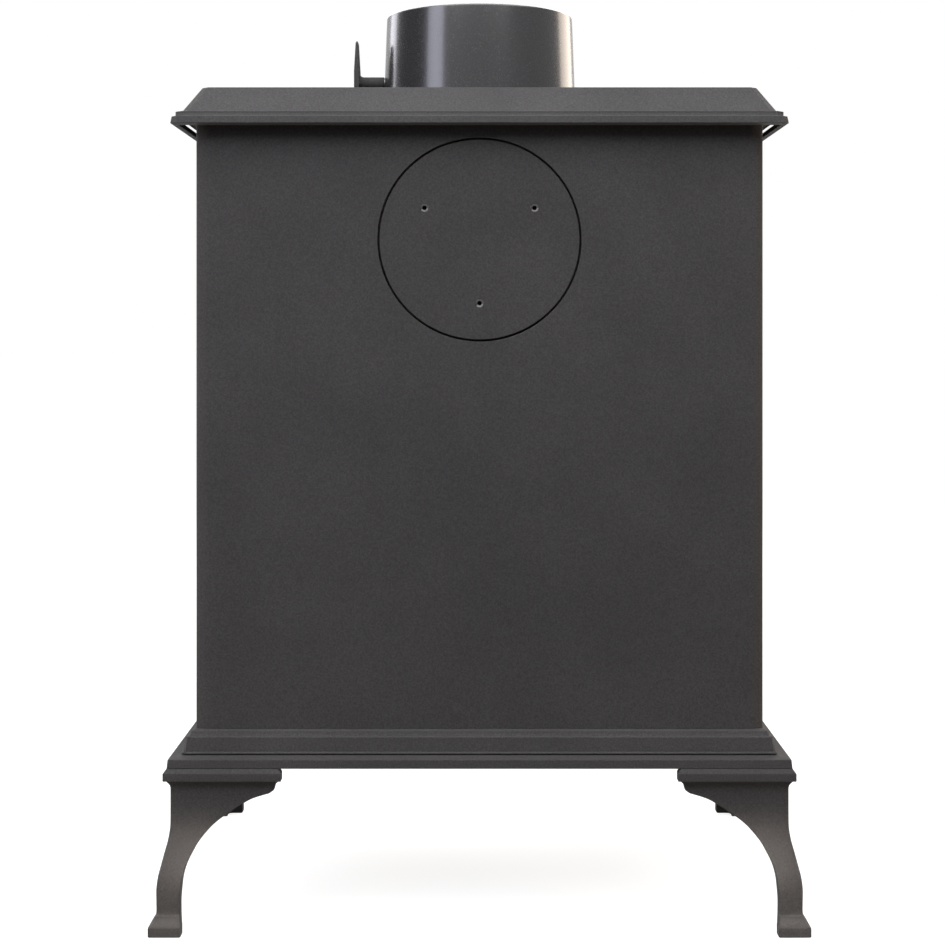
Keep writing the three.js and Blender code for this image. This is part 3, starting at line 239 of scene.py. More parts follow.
def make_floor():
    """Pale matt paper: white to the eye but for the stove's soft shadow, and as bright to gloss and glass."""
    mesh = bpy.data.meshes.new("studio_floor")
    corners = [(x * FLOOR_REACH, y * FLOOR_REACH, 0) for x, y in ((-1, -1), (1, -1), (1, 1), (-1, 1))]
    mesh.from_pydata(corners, [], [(0, 1, 2, 3)])
    material, tree, place = new_finish("studio_paper")
    path = node(tree, "ShaderNodeLightPath").outputs
    gloss = maths(tree, "MAXIMUM", path["Is Camera Ray"], path["Is Glossy Ray"])
    seen = maths(tree, "MAXIMUM", gloss, path["Is Transmission Ray"])
    far = node(tree, "ShaderNodeVectorMath", {0: place}, operation="LENGTH").outputs["Value"]
    glow = maths(tree, "MULTIPLY", seen, spanned(tree, far, FLOOR_FADE, (FLOOR_GLOW, 1.0), "SMOOTHSTEP"))
    greys = [(level, level, level, 1) for level in (FLOOR_PAPER, FLOOR_SHADE)]
    paper = result(tree, "ShaderNodeBsdfDiffuse", {"Color": tinted(tree, seen, *greys)})
    shine = result(tree, "ShaderNodeEmission", {"Strength": glow})
    both = result(tree, "ShaderNodeAddShader", {0: paper, 1: shine})
    node(tree, "ShaderNodeOutputMaterial", {"Surface": both})
    mesh.materials.append(material)
    put("studio_floor", mesh)


make_floor()

MIDDLE = (0.3, 0.7)  # the span that most of a noise lies in


def stove_paint():
    """High-temperature silicone paint, sprayed matt on sand-cast iron: the moulding sand leaves a fine grain
    that speckles the light, and the coat is a little thicker and paler in broad soft patches."""
    material, tree, place = new_finish("silicone_stove_paint_on_sand_cast_iron")
    grain = noise(tree, place, 1.3, 3.0, 0.62)
    sand = noise(tree, place, 2.6, 2.0)
    patches = noise(tree, place, 70, 3.0)
    tone = tinted(tree, spanned(tree, grain, MIDDLE), "#3b3a3b", "#4b4a4a")
    cast = spanned(tree, patches, (0.35, 0.65), (0.93, 1.05))
    pits = bumped(tree, sand, 0.12, 0.5)
    return finished(material, {
        "Base Color": vectors(tree, "SCALE", {0: tone, "Scale": cast}),
        "Roughness": spanned(tree, sand, MIDDLE, (0.56, 0.7)),
        "Normal": bumped(tree, grain, 0.07, 0.6, pits),
        "Specular IOR Level": 0.04,
        "IOR": 1.5,
    })


def collar_lacquer():
    """Gloss stove lacquer with fine metal flake over a rolled ring: dark, with grainy upright highlights."""
    material, tree, place = new_finish("gloss_stove_lacquer_on_iron")
    flake = noise(tree, place, 1.0, 3.0, 0.65)
    ripple = bumped(tree, noise(tree, place, 9, 2.0), 0.05, 0.4)
    return finished(material, {
        "Base Color": tinted(tree, flake, "#262628", "#363537"),
        "Roughness": spanned(tree, flake, MIDDLE, (0.17, 0.31)),
        "Metallic": 0.25,
        "Normal": bumped(tree, flake, 0.05, 0.6, ripple),
        "Coat Weight": 0.35,
        "Coat Roughness": 0.13,
    })


def blacked_steel():
    """Chemically blacked steel with a thin oil gloss, as socket screws are."""
    material, tree, place = new_finish("oiled_blacked_steel")
    smudge = noise(tree, place, 3, 2.0)
    return finished(material, {
        "Base Color": linear("#464545"),
        "Roughness": spanned(tree, smudge, MIDDLE, (0.26, 0.36)),
        "Metallic": 0.8,
    })


def turned_steel():
    """Bright steel, turned and satin polished: fine tool marks round it and a soft sheen."""
    material, tree, place = new_finish("satin_turned_steel")
    marks = result(tree, "ShaderNodeMapping", {"Vector": place, "Scale": (1, 0.12, 0.12)})
    lines = noise(tree, marks, 0.5, 2.0)
    smudge = noise(tree, place, 14, 2.0)
    return finished(material, {
        "Base Color": tinted(tree, lines, "#8a8b8e", "#a7a8aa"),
        "Roughness": spanned(tree, smudge, MIDDLE, (0.26, 0.4)),
        "Metallic": 1.0,
        "Normal": bumped(tree, lines, 0.02, 0.5),
    })


def raw_iron():
    """Bare sand-cast iron, oiled and once fired: grey-black scale with faint brown bloom."""
    material, tree, place = new_finish("bare_sand_cast_iron")
    grain = noise(tree, place, 1.8, 4.0, 0.6)
    bloom = noise(tree, place, 24, 4.0, 0.6)
    brown = spanned(tree, bloom, (0.52, 0.72), (0, 0.6))
    return finished(material, {
        "Base Color": tinted(tree, brown, "#373635", "#4d3d33"),
        "Roughness": 0.78,
        "Metallic": 0.3,
        "Normal": bumped(tree, grain, 0.2, 0.6),
        "Specular IOR Level": 0.4,
    })


def fire_glass():
    """Clear ceramic fire glass with its faint amber body, and a little soot haze."""
    material, tree, place = new_finish("clear_ceramic_fire_glass")
    haze = noise(tree, place, 60, 3.0)
    return finished(material, {
        "Base Color": linear("#f8f3e9"),
        "Roughness": spanned(tree, haze, MIDDLE, (0.01, 0.07)),
        "IOR": 1.53,
        "Transmission Weight": 1.0,
    })


def seal_rope():
    """Braided glass-fibre rope, warm grey, dull and slightly fuzzy."""
    material, tree, place = new_finish("braided_glass_fibre_rope")
    fibre = noise(tree, place, 0.8, 3.0, 0.6)
    soot = noise(tree, place, 30, 2.0)
    clean = tinted(tree, fibre, "#8f897c", "#b9b3a5")
    return finished(material, {
        "Base Color": tinted(tree, soot, clean, "#75706a"),
        "Roughness": 0.92,
        "Normal": bumped(tree, fibre, 0.15, 0.7),
        "Sheen Weight": 0.25,
    })


def fire_brick():
    """Pressed vermiculite board: buff, with gold-brown flakes of 2 to 4 mm and a crumbly face."""
    material, tree, place = new_finish("pressed_vermiculite_brick")
    fleck = cells(tree, place, 3.2)
    crumb = noise(tree, place, 2.2, 4.0, 0.65)
    cloud = noise(tree, place, 45, 3.0)
    body = tinted(tree, fleck[0], "#b79f78", "#d9c7a3")
    face = bumped(tree, crumb, 0.4, 0.7)
    return finished(material, {
        "Base Color": tinted(tree, cloud, body, "#bda98a"),
        "Roughness": 0.95,
        "Normal": bumped(tree, fleck[1], 0.15, 0.5, face),
    })


def pan_steel():
    """Folded zinc-coated sheet steel: grey, with spangles some 12 mm across."""
    material, tree, place = new_finish("folded_galvanised_sheet")
    facet = cells(tree, place, 12)
    fine = noise(tree, place, 2.0, 3.0)
    return finished(material, {
        "Base Color": tinted(tree, facet[0], "#84878a", "#9b9da0"),
        "Roughness": spanned(tree, facet[1], (0, 1), (0.34, 0.52)),
        "Metallic": 0.9,
        "Normal": bumped(tree, fine, 0.03, 0.4),
    })


PAINT, LACQUER, STEEL, BLACKED = stove_paint(), collar_lacquer(), turned_steel(), blacked_steel()
ROPE, SHEET = seal_rope(), pan_steel()
FINISH_BY_SLOT = {
    "stove_paint": PAINT,
    "collar_gloss": LACQUER,
    "bright_steel": STEEL,
    "raw_iron": raw_iron(),
    "fire_glass": fire_glass(),
    "seal_rope": ROPE,
    "fire_brick": fire_brick(),
    "pan_steel": SHEET,
}


# Making pieces
def in_metres(places_mm):
    """Places in millimetres from the stove's own middle, as the frame has them."""
    return [(x * MM, (y + REAR_SHIFT) * MM, z * MM) for x, y, z in places_mm]


def mesh_from(bm, name):
    mesh = bpy.data.meshes.new(name)
    bm.to_mesh(mesh)
    bm.free()
    return mesh


def piece(name, mesh, finish):
    mesh.materials.clear()
    mesh.materials.append(finish)
    return put(name, mesh)


def settled(made):
    """The object with its modifiers turned into plain mesh."""
    seen = made.evaluated_get(bpy.context.evaluated_depsgraph_get())
    mesh = bpy.data.meshes.new_from_object(seen)
    made.modifiers.clear()
    made.data = mesh
    return made


def shade(made, sharp_degrees=34):
    """Smooth shading that leaves flat faces flat, up to the edges that stay sharp."""
    mesh = made.data
    mesh.polygons.foreach_set("use_smooth", [True] * len(mesh.polygons))
    mesh.set_sharp_from_angle(angle=math.radians(sharp_degrees))
    weighed = made.modifiers.new("weighed", "WEIGHTED_NORMAL")
    weighed.keep_sharp = True
    return settled(made)


BODY_OF = {name: body for body, names in frame["record"]["behaviour"]["bodies"].items() for name in names}
SLOT_OF = {part["node"]: part["material_slot"] for part in frame["record"]["subparts"]}


def carry(made, node_name):
    """A finished piece takes the place of a casting: it rides its body."""
    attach(made, BODY_OF[node_name])
    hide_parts(node_name)


JOIN = 0.002 * MM
FLAT = math.radians(0.6)
CORNER = math.radians(16)


def clean_copy(node_name):
    """The casting's mesh with its loose triangles joined and its flat faces whole."""
    bm = bmesh.new()
    bm.from_mesh(nodes[node_name].data)
    bmesh.ops.remove_doubles(bm, verts=bm.verts, dist=JOIN)
    bmesh.ops.dissolve_degenerate(bm, edges=bm.edges, dist=JOIN)
    bmesh.ops.dissolve_limit(bm, angle_limit=FLAT, verts=bm.verts, edges=bm.edges)
    return bm


def soften(bm, width_mm, chosen, segments=2):
    """Rounds the chosen outer corners of a casting."""
    outer = [e for e in bm.edges if e.is_manifold and e.is_convex and e.calc_face_angle() > CORNER]
    edges = [e for e in outer if chosen(e)]
    if edges:
        bmesh.ops.bevel(bm, geom=edges, offset=width_mm * MM, segments=segments, profile=0.5,
                        affect="EDGES", clamp_overlap=True, offset_type="OFFSET")


def dressed(node_name, width_mm, chosen):
    """Copy of a casting with its chosen corners rounded, in place of it."""
    bm = clean_copy(node_name)
    soften(bm, width_mm, chosen)
    name = "dressed_" + node_name
    carry(shade(piece(name, mesh_from(bm, name), FINISH_BY_SLOT[SLOT_OF[node_name]])), node_name)


def long_edge(least_mm):
    return lambda edge: edge.calc_length() > least_mm * MM


# Plain castings keep their own shape and take their finish
for name, casting in nodes.items():
    for held in casting.material_slots:
        held.material = FINISH_BY_SLOT[SLOT_OF[name]]


def closed(name, places_mm, faces):
    """Mesh of faces over places in millimetres, joined up and facing outwards."""
    mesh = bpy.data.meshes.new(name)
    mesh.from_pydata(in_metres(places_mm), [], faces)
    bm = bmesh.new()
    bm.from_mesh(mesh)
    bmesh.ops.remove_doubles(bm, verts=bm.verts, dist=0.001 * MM)
    bmesh.ops.recalc_face_normals(bm, faces=bm.faces)
    bm.to_mesh(mesh)
    bm.free()
    return mesh


def skin(name, rings):
    """Closed mesh over rings of equal length."""
    count = len(rings[0])
    places = [place for ring in rings for place in ring]
    faces = [tuple(range(count))[::-1], tuple(range(len(places) - count, len(places)))]
    for row in range(len(rings) - 1):
        for i in range(count):
            a, b = row * count + i, row * count + (i + 1) % count
            faces.append((a, b, b + count, a + count))
    return closed(name, places, faces)


def rounded(half, low, high, corner, steps):
    """Outline of a rectangle from -half to half and from low to high, with rounded corners."""
    outline = []
    for x, y, start in ((half - corner, high - corner, 0), (corner - half, high - corner, 1),
                        (corner - half, low + corner, 2), (half - corner, low + corner, 3)):
        for k in range(steps + 1):
            angle = QUARTER * (start + k / steps)
            outline.append((x + corner * math.cos(angle), y + corner * math.sin(angle)))
    return outline


def revolve(name, profile, sides, middle, axis="Z", milled=lambda angle, height: 0):
    """Turned mesh: the profile gives radius and height in mm, and touches the axis or closes on itself.
    Milled says how many mm lie below the profile at an angle and a height."""
    bm = bmesh.new()
    around = []
    for radius, height in profile:
        if radius < 1e-6:
            around.append([bm.verts.new((0, 0, height * MM))])
            continue
        ring = []
        for i in range(sides):
            turn = i * 4 * QUARTER / sides
            reach = (radius - milled(turn, height)) * MM
            ring.append(bm.verts.new((reach * math.cos(turn), reach * math.sin(turn), height * MM)))
        around.append(ring)
    ends = list(zip(around, around[1:]))
    if len(around[0]) > 1:
        ends.append((around[-1], around[0]))
    for low, high in ends:
        for i in range(sides):
            j = i + 1
            ring = [low[i % len(low)], low[j % len(low)], high[j % len(high)], high[i % len(high)]]
            corners = list(dict.fromkeys(ring))
            if len(corners) > 2:
                bm.faces.new(corners)
    bmesh.ops.recalc_face_normals(bm, faces=bm.faces)
    turn = {"Z": Matrix(), "-Z": Matrix.Rotation(math.pi, 4, "X"), "Y": Matrix.Rotation(-QUARTER, 4, "X"),
            "-Y": Matrix.Rotation(QUARTER, 4, "X"), "X": Matrix.Rotation(QUARTER, 4, "Y")}[axis]
    bm.transform(Matrix.Translation(in_metres([middle])[0]) @ turn)
    return mesh_from(bm, name)


def turned(name, finish, *shape):
    """Piece turned from a profile, as revolve takes it."""
    return piece(name, revolve(name, *shape), finish)


def carved(made, tools, operation="DIFFERENCE"):
    """Cuts the tools' meshes from a piece, or joins them to it."""
    helpers = []
    for i, mesh in enumerate(tools):
        helper = put(f"carving_tool_{i}", mesh)
        change = made.modifiers.new(helper.name, "BOOLEAN")
        change.object = helper
        change.operation = operation
        change.solver = "EXACT"
        helpers.append(helper)
    settled(made)
    for helper in helpers:
        bpy.data.objects.remove(helper)
    return made


def smoothed(stations, steps):
    """Smooth curve through rows of numbers whose first column only rises."""
    rows = []
    last = len(stations) - 1
    for i in range(last):
        before, start, end, after = (stations[max(0, min(last, j))] for j in (i - 1, i, i + 1, i + 2))
        for k in range(steps):
            t = k / steps
            row = []
            for p0, p1, p2, p3 in zip(before, start, end, after):
                low, high = (p2 - p0) / 2, (p3 - p1) / 2
                row.append((2 * t**3 - 3 * t**2 + 1) * p1 + (t**3 - 2 * t**2 + t) * low
                           + (3 * t**2 - 2 * t**3) * p2 + (t**3 - t**2) * high)
            rows.append(row)
    return rows + [list(stations[-1])]


# Legs: angle castings with rounded edges; each row is height, how far out and how far in from the corner
LEG_WALL = 11
LEG_SOFT = 1.4
LEG_FILLET = 4
LEG_SHANK = [
    (9.1, 29.73, 6.76), (12.71, 27.24, 7.33), (14.71, 26.4, 7.52),
    (16.7, 25.6, 7.7), (25.67, 25.6, 7.7), (34.64, 25.6, 7.0), (43.34, 24.51, 5.96), (51.68, 22.51, 3.54),
    (60.11, 20.41, -0.62), (68.46, 18.23, -5.47), (77.52, 16.77, -13.02), (83.97, 16.55, -20.02),
    (89.72, 16.5, -28.27), (96.35, 16.5, -38.39), (100.48, 16.5, -46.42), (104.16, 16.5, -58.48),
]
LEG_TOP = 123.1
LEG_PAD = 21.4
WEB = {"overlap": 2.4, "end": -58, "bottom": 114.9}


def leg_outline(height, out, end, soft=LEG_SOFT):
    """Section of a leg: an angle with rounded outer corner, ends and inner corner."""
    inner = out - LEG_WALL
    corners = [(out, end, soft), (out, out, 1.7 * soft), (end, out, soft), (end, inner, soft),
               (inner, inner, LEG_FILLET), (inner, end, soft)]
    points = []
    for i, (x, y, radius) in enumerate(corners):
        corner = Vector((x, y))
        sides = corners[i - 1], corners[(i + 1) % len(corners)]
        ends = [corner + (Vector(side[:2]) - corner).normalized() * radius for side in sides]
        for k in range(4):
            share = k / 3
            bend = (1 - share) ** 2 * ends[0] + 2 * share * (1 - share) * corner + share**2 * ends[1]
            points.append((bend.x, bend.y, height))
    return points


def leg_rings():
    """Sections of a leg from the floor up: its toe and pad keep crisper edges than its shank."""
    toe = [(0, 30.2, 7.2), (0.5, 30.9, 6.5), (6.6, 30.9, 6.5), (7.6, 30.6, 6.57)]
    shank = smoothed(LEG_SHANK, 4)
    cove = [(106.4, 16.5, -61.6), (108.2, 16.55, -62.0), (110.2, 17.0, -62.6), (111.8, 18.0, -63.6),
            (113.4, 19.3, -65.3), (113.9, 19.8, -65.9)]
    pad = [(114.1, 21.2, -67.2), (114.3, LEG_PAD, -67.4), (119.6, LEG_PAD, -67.4), (120.3, 21.0, -67.0),
           (122.5, 19.4, -65.4), (LEG_TOP, 19.0, -65.0)]
    rows = [(*row, 0.5) for row in toe] + shank + cove + [(*row, 0.4) for row in pad]
    return [leg_outline(*row) for row in rows]


def make_leg(node_name, across, deep, quarter_turns):
    """Places a leg at its corner of the body and joins the web that the tie rod passes through."""
    turn = Matrix.Rotation(quarter_turns * QUARTER, 3, "Z")
    corner = Vector((across * BODY["half_width"], deep * BODY["half_depth"], 0))

    def placed(ring):
        return [tuple(turn @ Vector(point) + corner) for point in ring]

    root, end = LEG_PAD - LEG_WALL + WEB["overlap"], WEB["end"]
    web = [[(root, end, z), (root, root, z), (end, root, z)] for z in (WEB["bottom"], LEG_TOP)]
    name = "cast_" + node_name
    made = piece(name, skin(name, [placed(ring) for ring in leg_rings()]), PAINT)
    carved(made, [skin("web", [placed(ring) for ring in web])], "UNION")
    middle = turn @ Vector((-ROD["inset"], -ROD["inset"], 0)) + corner
    hole = [(0, 100), (ROD["hole"], 100), (ROD["hole"], 140), (0, 140)]
    carved(made, [revolve("rod_hole", hole, 24, middle)])
    carry(shade(made, 40), node_name)


for node_name, across, deep, quarter_turns in (
    ("leg_rear_right", 1, 1, 0), ("leg_rear_left", -1, 1, 1),
    ("leg_front_left", -1, -1, 2), ("leg_front_right", 1, -1, 3),
):
    make_leg(node_name, across, deep, quarter_turns)


# Trees for what repeats
def new_tree(name, sizes):
    """Geometry tree with one input for each named size; returns it and its inputs."""
    tree = bpy.data.node_groups.new(name, "GeometryNodeTree")
    tree.interface.new_socket("Geometry", in_out="INPUT", socket_type="NodeSocketGeometry")
    for size in sizes:
        kind = "NodeSocketInt" if size in ("Count", "Strands") else "NodeSocketFloat"
        tree.interface.new_socket(size, in_out="INPUT", socket_type=kind)
    tree.interface.new_socket("Finish", in_out="INPUT", socket_type="NodeSocketMaterial")
    tree.interface.new_socket("Geometry", in_out="OUTPUT", socket_type="NodeSocketGeometry")
    return tree, node(tree, "NodeGroupInput").outputs


def end_tree(tree, geometry, finish, instances=True):
    if instances:
        geometry = result(tree, "GeometryNodeRealizeInstances", {0: geometry})
    made = result(tree, "GeometryNodeSetMaterial", {"Geometry": geometry, "Material": finish})
    node(tree, "NodeGroupOutput", {0: made})
    return tree


def run_tree(made, tree, finish, **sizes):
    """Runs a tree over a piece and keeps the plain mesh that it makes."""
    change = made.modifiers.new(tree.name, "NODES")
    change.node_group = tree
    wanted = {key.replace("_", " ").title(): value for key, value in sizes.items()} | {"Finish": finish}
    for socket in tree.interface.items_tree:
        if socket.name in wanted:
            change[socket.identifier] = wanted[socket.name]
    return settled(made)


def grown(name, points, edges, tree, finish, **sizes):
    """Plain mesh of a tree run over points in metres."""
    mesh = bpy.data.meshes.new(name)
    mesh.from_pydata(points, edges, [])
    return run_tree(piece(name, mesh, finish), tree, finish, **sizes)


def joined(tree, first, second):
    both = node(tree, "GeometryNodeJoinGeometry", {0: first})
    tree.links.new(second, both.inputs[0])
    return both.outputs[0]


def screw_tree():
    """Countersunk screw with a hexagon socket at each point: its shank is along +Z before it is turned."""
    sizes = ("Head Radius", "Head Height", "Socket Radius", "Shank Radius", "Shank Length", "Turn")
    tree, given = new_tree("socket_screws", sizes)
    head = result(tree, "GeometryNodeMeshCone",
                  {"Vertices": 32, "Radius Top": given["Shank Radius"], "Radius Bottom": given["Head Radius"],
                   "Depth": given["Head Height"]})
    shank = result(tree, "GeometryNodeMeshCylinder",
                   {"Vertices": 24, "Radius": given["Shank Radius"], "Depth": given["Shank Length"]})
    lower = result(tree, "ShaderNodeCombineXYZ", {"Z": maths(tree, "DIVIDE", given["Shank Length"], 2.0)})
    sunk = result(tree, "GeometryNodeTransform", {0: shank, "Translation": lower})
    whole = node(tree, "GeometryNodeMeshBoolean", {1: head}, operation="UNION", solver="EXACT")
    tree.links.new(sunk, whole.inputs[1])
    socket = result(tree, "GeometryNodeMeshCylinder",
                    {"Vertices": 6, "Radius": given["Socket Radius"], "Depth": given["Head Height"]})
    bored = result(tree, "GeometryNodeMeshBoolean", {0: whole.outputs[0], 1: socket},
                   operation="DIFFERENCE", solver="EXACT")
    aim = result(tree, "ShaderNodeCombineXYZ", {"X": given["Turn"]})
    placed = result(tree, "GeometryNodeInstanceOnPoints",
                    {"Points": given["Geometry"], "Instance": bored, "Rotation": aim})
    return end_tree(tree, placed, given["Finish"])


SCREWS = screw_tree()


# Flue collar: a turned ring with a rolled rim, drilled for the damper's spindle
def make_collar():
    height = COLLAR["top"] - COLLAR["bottom"]
    hole_radius, reach = 3.6, 85
    foot, rim, bore = COLLAR["foot"], COLLAR["rim"], COLLAR["bore"]
    outer = [(foot - 0.5, 0), (foot, 0.6)]
    wall = [(foot + (rim - foot) * k / 6, height * k / 6) for k in range(1, 6)]
    lip = [(rim - 1.2 + 1.2 * math.cos(a), height - 1.4 + 1.4 * math.sin(a))
           for a in (QUARTER * k / 4 for k in range(5))]
    inner = [(bore + 1.2 - 1.2 * math.cos(a), height - 1.4 + 1.4 * math.sin(a))
             for a in (QUARTER * (4 - k) / 4 for k in range(5))]
    profile = outer + wall + lip + inner + [(bore, height / 2), (bore, 0.4), (bore + 0.4, 0)]
    made = turned("gloss_flue_collar", LACQUER, profile, 144, (0, COLLAR["y"], COLLAR["bottom"]))
    hole = [(0, -reach), (hole_radius, -reach), (hole_radius, reach), (0, reach)]
    carved(made, [revolve("spindle_hole", hole, 32, (0, COLLAR["y"], SPINDLE_HEIGHT), "X")])
    carry(shade(made, 40), "flue_collar")


make_collar()


# Rear wall: a flat casting whose upright edges roll away softly, bored for the rear outlet
def make_rear_wall():
    half, face, wall = BODY["half_width"], BODY["half_depth"], BODY["wall"]
    roll_in, roll_back, steps = 12, 6, 12
    plan = [(-half, face - wall), (half, face - wall)]
    for hand, order in ((1, range(steps + 1)), (-1, range(steps, -1, -1))):
        for k in order:
            angle = QUARTER * k / steps
            plan.append((hand * (half - roll_in + roll_in * math.cos(angle)),
                         face - roll_back + roll_back * math.sin(angle)))
    rings = [[(x, y, z) for x, y in plan] for z in (BODY["bottom"], BODY["top"])]
    made = piece("cast_rear_wall", skin("cast_rear_wall", rings), PAINT)
    hole = OUTLET["hole"]
    wide, rim = hole + 0.4, hole + 0.3
    bore = [(0, -1), (wide, -1), (wide, 0), (hole, wide - hole), (hole, wall - rim + hole), (rim, wall),
            (rim, wall + 1), (0, wall + 1)]
    carved(made, [revolve("outlet_bore", bore, 144, (0, face - wall, OUTLET["z"]), "Y")])
    carry(shade(made, 30), "rear_panel")


make_rear_wall()


# Rear outlet plate: flush, with three countersunk socket screws of blacked steel
OUTLET_SCREWS = [(OUTLET["circle"] * math.cos(a), OUTLET["z"] + OUTLET["circle"] * math.sin(a))
                 for a in (math.pi / 6, 5 * math.pi / 6, 3 * math.pi / 2)]


def make_outlet_plate():
    radius, back, face = OUTLET["radius"], BODY["half_depth"] - BODY["wall"], BODY["half_depth"]
    profile = [(0, 0), (radius - 0.3, 0), (radius, 0.3), (radius, face - back - 0.5),
               (radius - 0.15, face - back - 0.15), (radius - 0.5, face - back), (0, face - back)]
    made = turned("outlet_plate", PAINT, profile, 128, (0, back, OUTLET["z"]), "Y")
    sink = [(0, -12), (2.4, -12), (2.4, -1.9), (3.45, -0.35), (3.5, 0), (3.5, 2), (0, 2)]
    carved(made, [revolve("countersink", sink, 40, (x, face, z), "Y") for x, z in OUTLET_SCREWS])
    carry(shade(made, 50), "rear_blanking_disc")
    head = [(0, -1.25), (1.4, -1.15), (2.3, -0.8), (3, -0.35), (3.25, -0.15), (3.35, -0.3), (2.3, -1.9),
            (2.1, -2.1), (2.1, -10.2), (1.6, -10.9), (0, -10.9)]
    for i, (x, z) in enumerate(OUTLET_SCREWS):
        screw = turned(f"outlet_screw_{i + 1}", BLACKED, head, 48, (x, face, z), "Y")
        socket = revolve("hexagon_socket", [(0, -6.5), (1.9, -2.4), (1.9, 0), (0, 0)], 6, (x, face, z), "Y")
        carry(shade(carved(screw, [socket]), 40), f"blanking_screw_{i + 1}")


make_outlet_plate()


# Castings that keep their shape, with every sharp outer corner rounded as a fettled casting has.
# The slots' span is given in the frame's own places.
SLOTTED = {"beyond": 225.5, "half_depth": 150, "bottom": 608.5, "top": 620.5, "longest": 150}


def clear_of_slots(edge):
    """Leaves the thin cooling slots in the side lips of the top plate as they were cut."""
    start, end = (corner.co / MM for corner in edge.verts)
    x, y, z = (start + end) / 2
    slotted = (abs(x) > SLOTTED["beyond"] and abs(y) < SLOTTED["half_depth"]
               and SLOTTED["bottom"] < z < SLOTTED["top"])
    length = (start - end).length
    return length > 7 and not (slotted and (length < SLOTTED["longest"] or abs(start.x - end.x) > 1))


DRESSED = {  # how wide the rounding is, and the shortest edge that takes it, in mm
    "side_panel_left": (0.8, 8),
    "side_panel_right": (0.8, 8),
    "front_frame": (0.6, 9),
    "door_casting": (0.9, 9),
    "ash_drawer_front": (1.1, 20),
    "damper_lever": (1.3, 4),
    "damper_plate": (0.5, 4),
    "grate_frame": (0.9, 6),
    "riddling_grate": (0.8, 6),
    "log_guard": (0.9, 5),
    "brick_left": (1.6, 10),
    "brick_right": (1.6, 10),
    "brick_rear": (1.6, 10),
    "baffle_plate": (1.2, 8),
    "blanking_clamp": (0.6, 3),
    "door_glass": (0.5, 8),
    "door_latch": (0.6, 4),
    "airwash_slider": (0.35, 2),
} | {f"tie_nut_{i}": (0.5, 3) for i in (1, 2, 3, 4)}
dressed("top_plate", 0.9, clear_of_slots)
for node_name, (width_mm, least_mm) in DRESSED.items():
    dressed(node_name, width_mm, long_edge(least_mm))


# Base plinth: the stepped casting with a rounded nose round the foot of its tall step
def moulding(name, profile, cut=1.2):
    """Closed ring of a profile round the body: each corner is how far outside the walls, and its height."""
    loops = []
    for out, z in profile:
        across, deep = BODY["half_width"] + out, BODY["half_depth"] + out
        loop = []
        for x, y in ((across, deep), (-across, deep), (-across, -deep), (across, -deep)):
            ends = [(x - math.copysign(cut, x), y, z), (x, y - math.copysign(cut, y), z)]
            loop += ends if x * y < 0 else ends[::-1]
        loops.append(loop)
    count = len(loops[0])
    faces = []
    for row in range(len(loops)):
        after = (row + 1) % len(loops)
        for i in range(count):
            j = (i + 1) % count
            faces.append((row * count + i, row * count + j, after * count + j, after * count + i))
    return closed(name, [place for loop in loops for place in loop], faces)


def make_plinth():
    bm = clean_copy("base_plinth")
    soften(bm, 0.9, long_edge(8), 3)
    name = "moulded_base_plinth"
    nose = [(5, 131.7), (8.5, 131.7), (9, 131.9), (9.2, 132.4), (9, 133), (8.2, 133.8), (5, 133.8)]
    made = carved(piece(name, mesh_from(bm, name), PAINT), [moulding("nose", nose)], "UNION")
    carry(shade(made), "base_plinth")


make_plinth()


# Knobs: turned steel, knurled round the grip, with a dished face
def knurling(count, radius, low, high, depth=0.45):
    """Diamond knurl between two heights: how deep its crossing grooves are at an angle and a height."""
    def groove(angle, height):
        if not low < height < high:
            return 0
        lead = height * count / radius
        waves = [0.5 + 0.5 * math.cos(count * angle + hand * lead) for hand in (-1, 1)]
        return depth * max(waves) ** 2
    return groove


def make_knob(node_name, radius, neck, neck_length, length, seat):
    crown = length - neck_length
    low, high = neck_length + 0.2 * crown, length - 0.27 * crown
    stem = [(0, 0), (neck - 0.3, 0), (neck, 0.3), (neck, 1.4), (neck * 0.84, 2.2),
            (neck * 0.8, neck_length * 0.5), (neck * 0.86, neck_length * 0.85), (neck, neck_length),
            (radius - 1.2, neck_length + 0.08 * crown), (radius, low)]
    rows = 14
    grip = [(radius, low + (high - low) * k / rows) for k in range(1, rows)]
    crest = [(radius, high), (radius - 0.5, high + 0.06 * crown), (radius * 0.84, length - 0.1 * crown),
             (radius * 0.72, length - 0.02 * crown), (radius * 0.62, length),
             (radius * 0.5, length - 0.02 * crown), (radius * 0.3, length - 0.07 * crown),
             (radius * 0.12, length - 0.09 * crown), (0, length - 0.1 * crown)]
    count = round(radius * 3.6)
    made = turned("knurled_" + node_name, STEEL, stem + grip + crest, count * 4, seat, "-Y",
                  knurling(count, radius, low, high))
    carry(shade(made, 50), node_name)


DRAWER_FACE = -163.3
WHEEL_HEIGHT = 185.4
for side, hand in (("left", -1), ("right", 1)):
    make_knob("ash_drawer_knob_" + side, 11, 5, 9, 22, (hand * 98, DRAWER_FACE, WHEEL_HEIGHT))
make_knob("airwash_knob", 7, 3.5, 7, 15, (0, -158.3, 582.1))
make_knob("riddling_knob", 7, 3.5, 7, 15, (0, -163.3, 235.1))


# Door handle: a turned hub, a flat arm and a hanging grip with finger grooves
LATCH = {"x": 138, "z": 400.3, "hub_back": -175.3, "hub_length": 15, "hub": 9, "arm": 7}
GRIP = {"y": -186.8, "top": 361.3, "length": 42}


def grip_groove(angle, height):
    """Six shallow turned grooves round the belly of the grip."""
    nearest = min(abs(height - (12.5 + 2.6 * k)) for k in range(6))
    return 0.55 * max(0, 1 - (nearest / 0.8) ** 2)


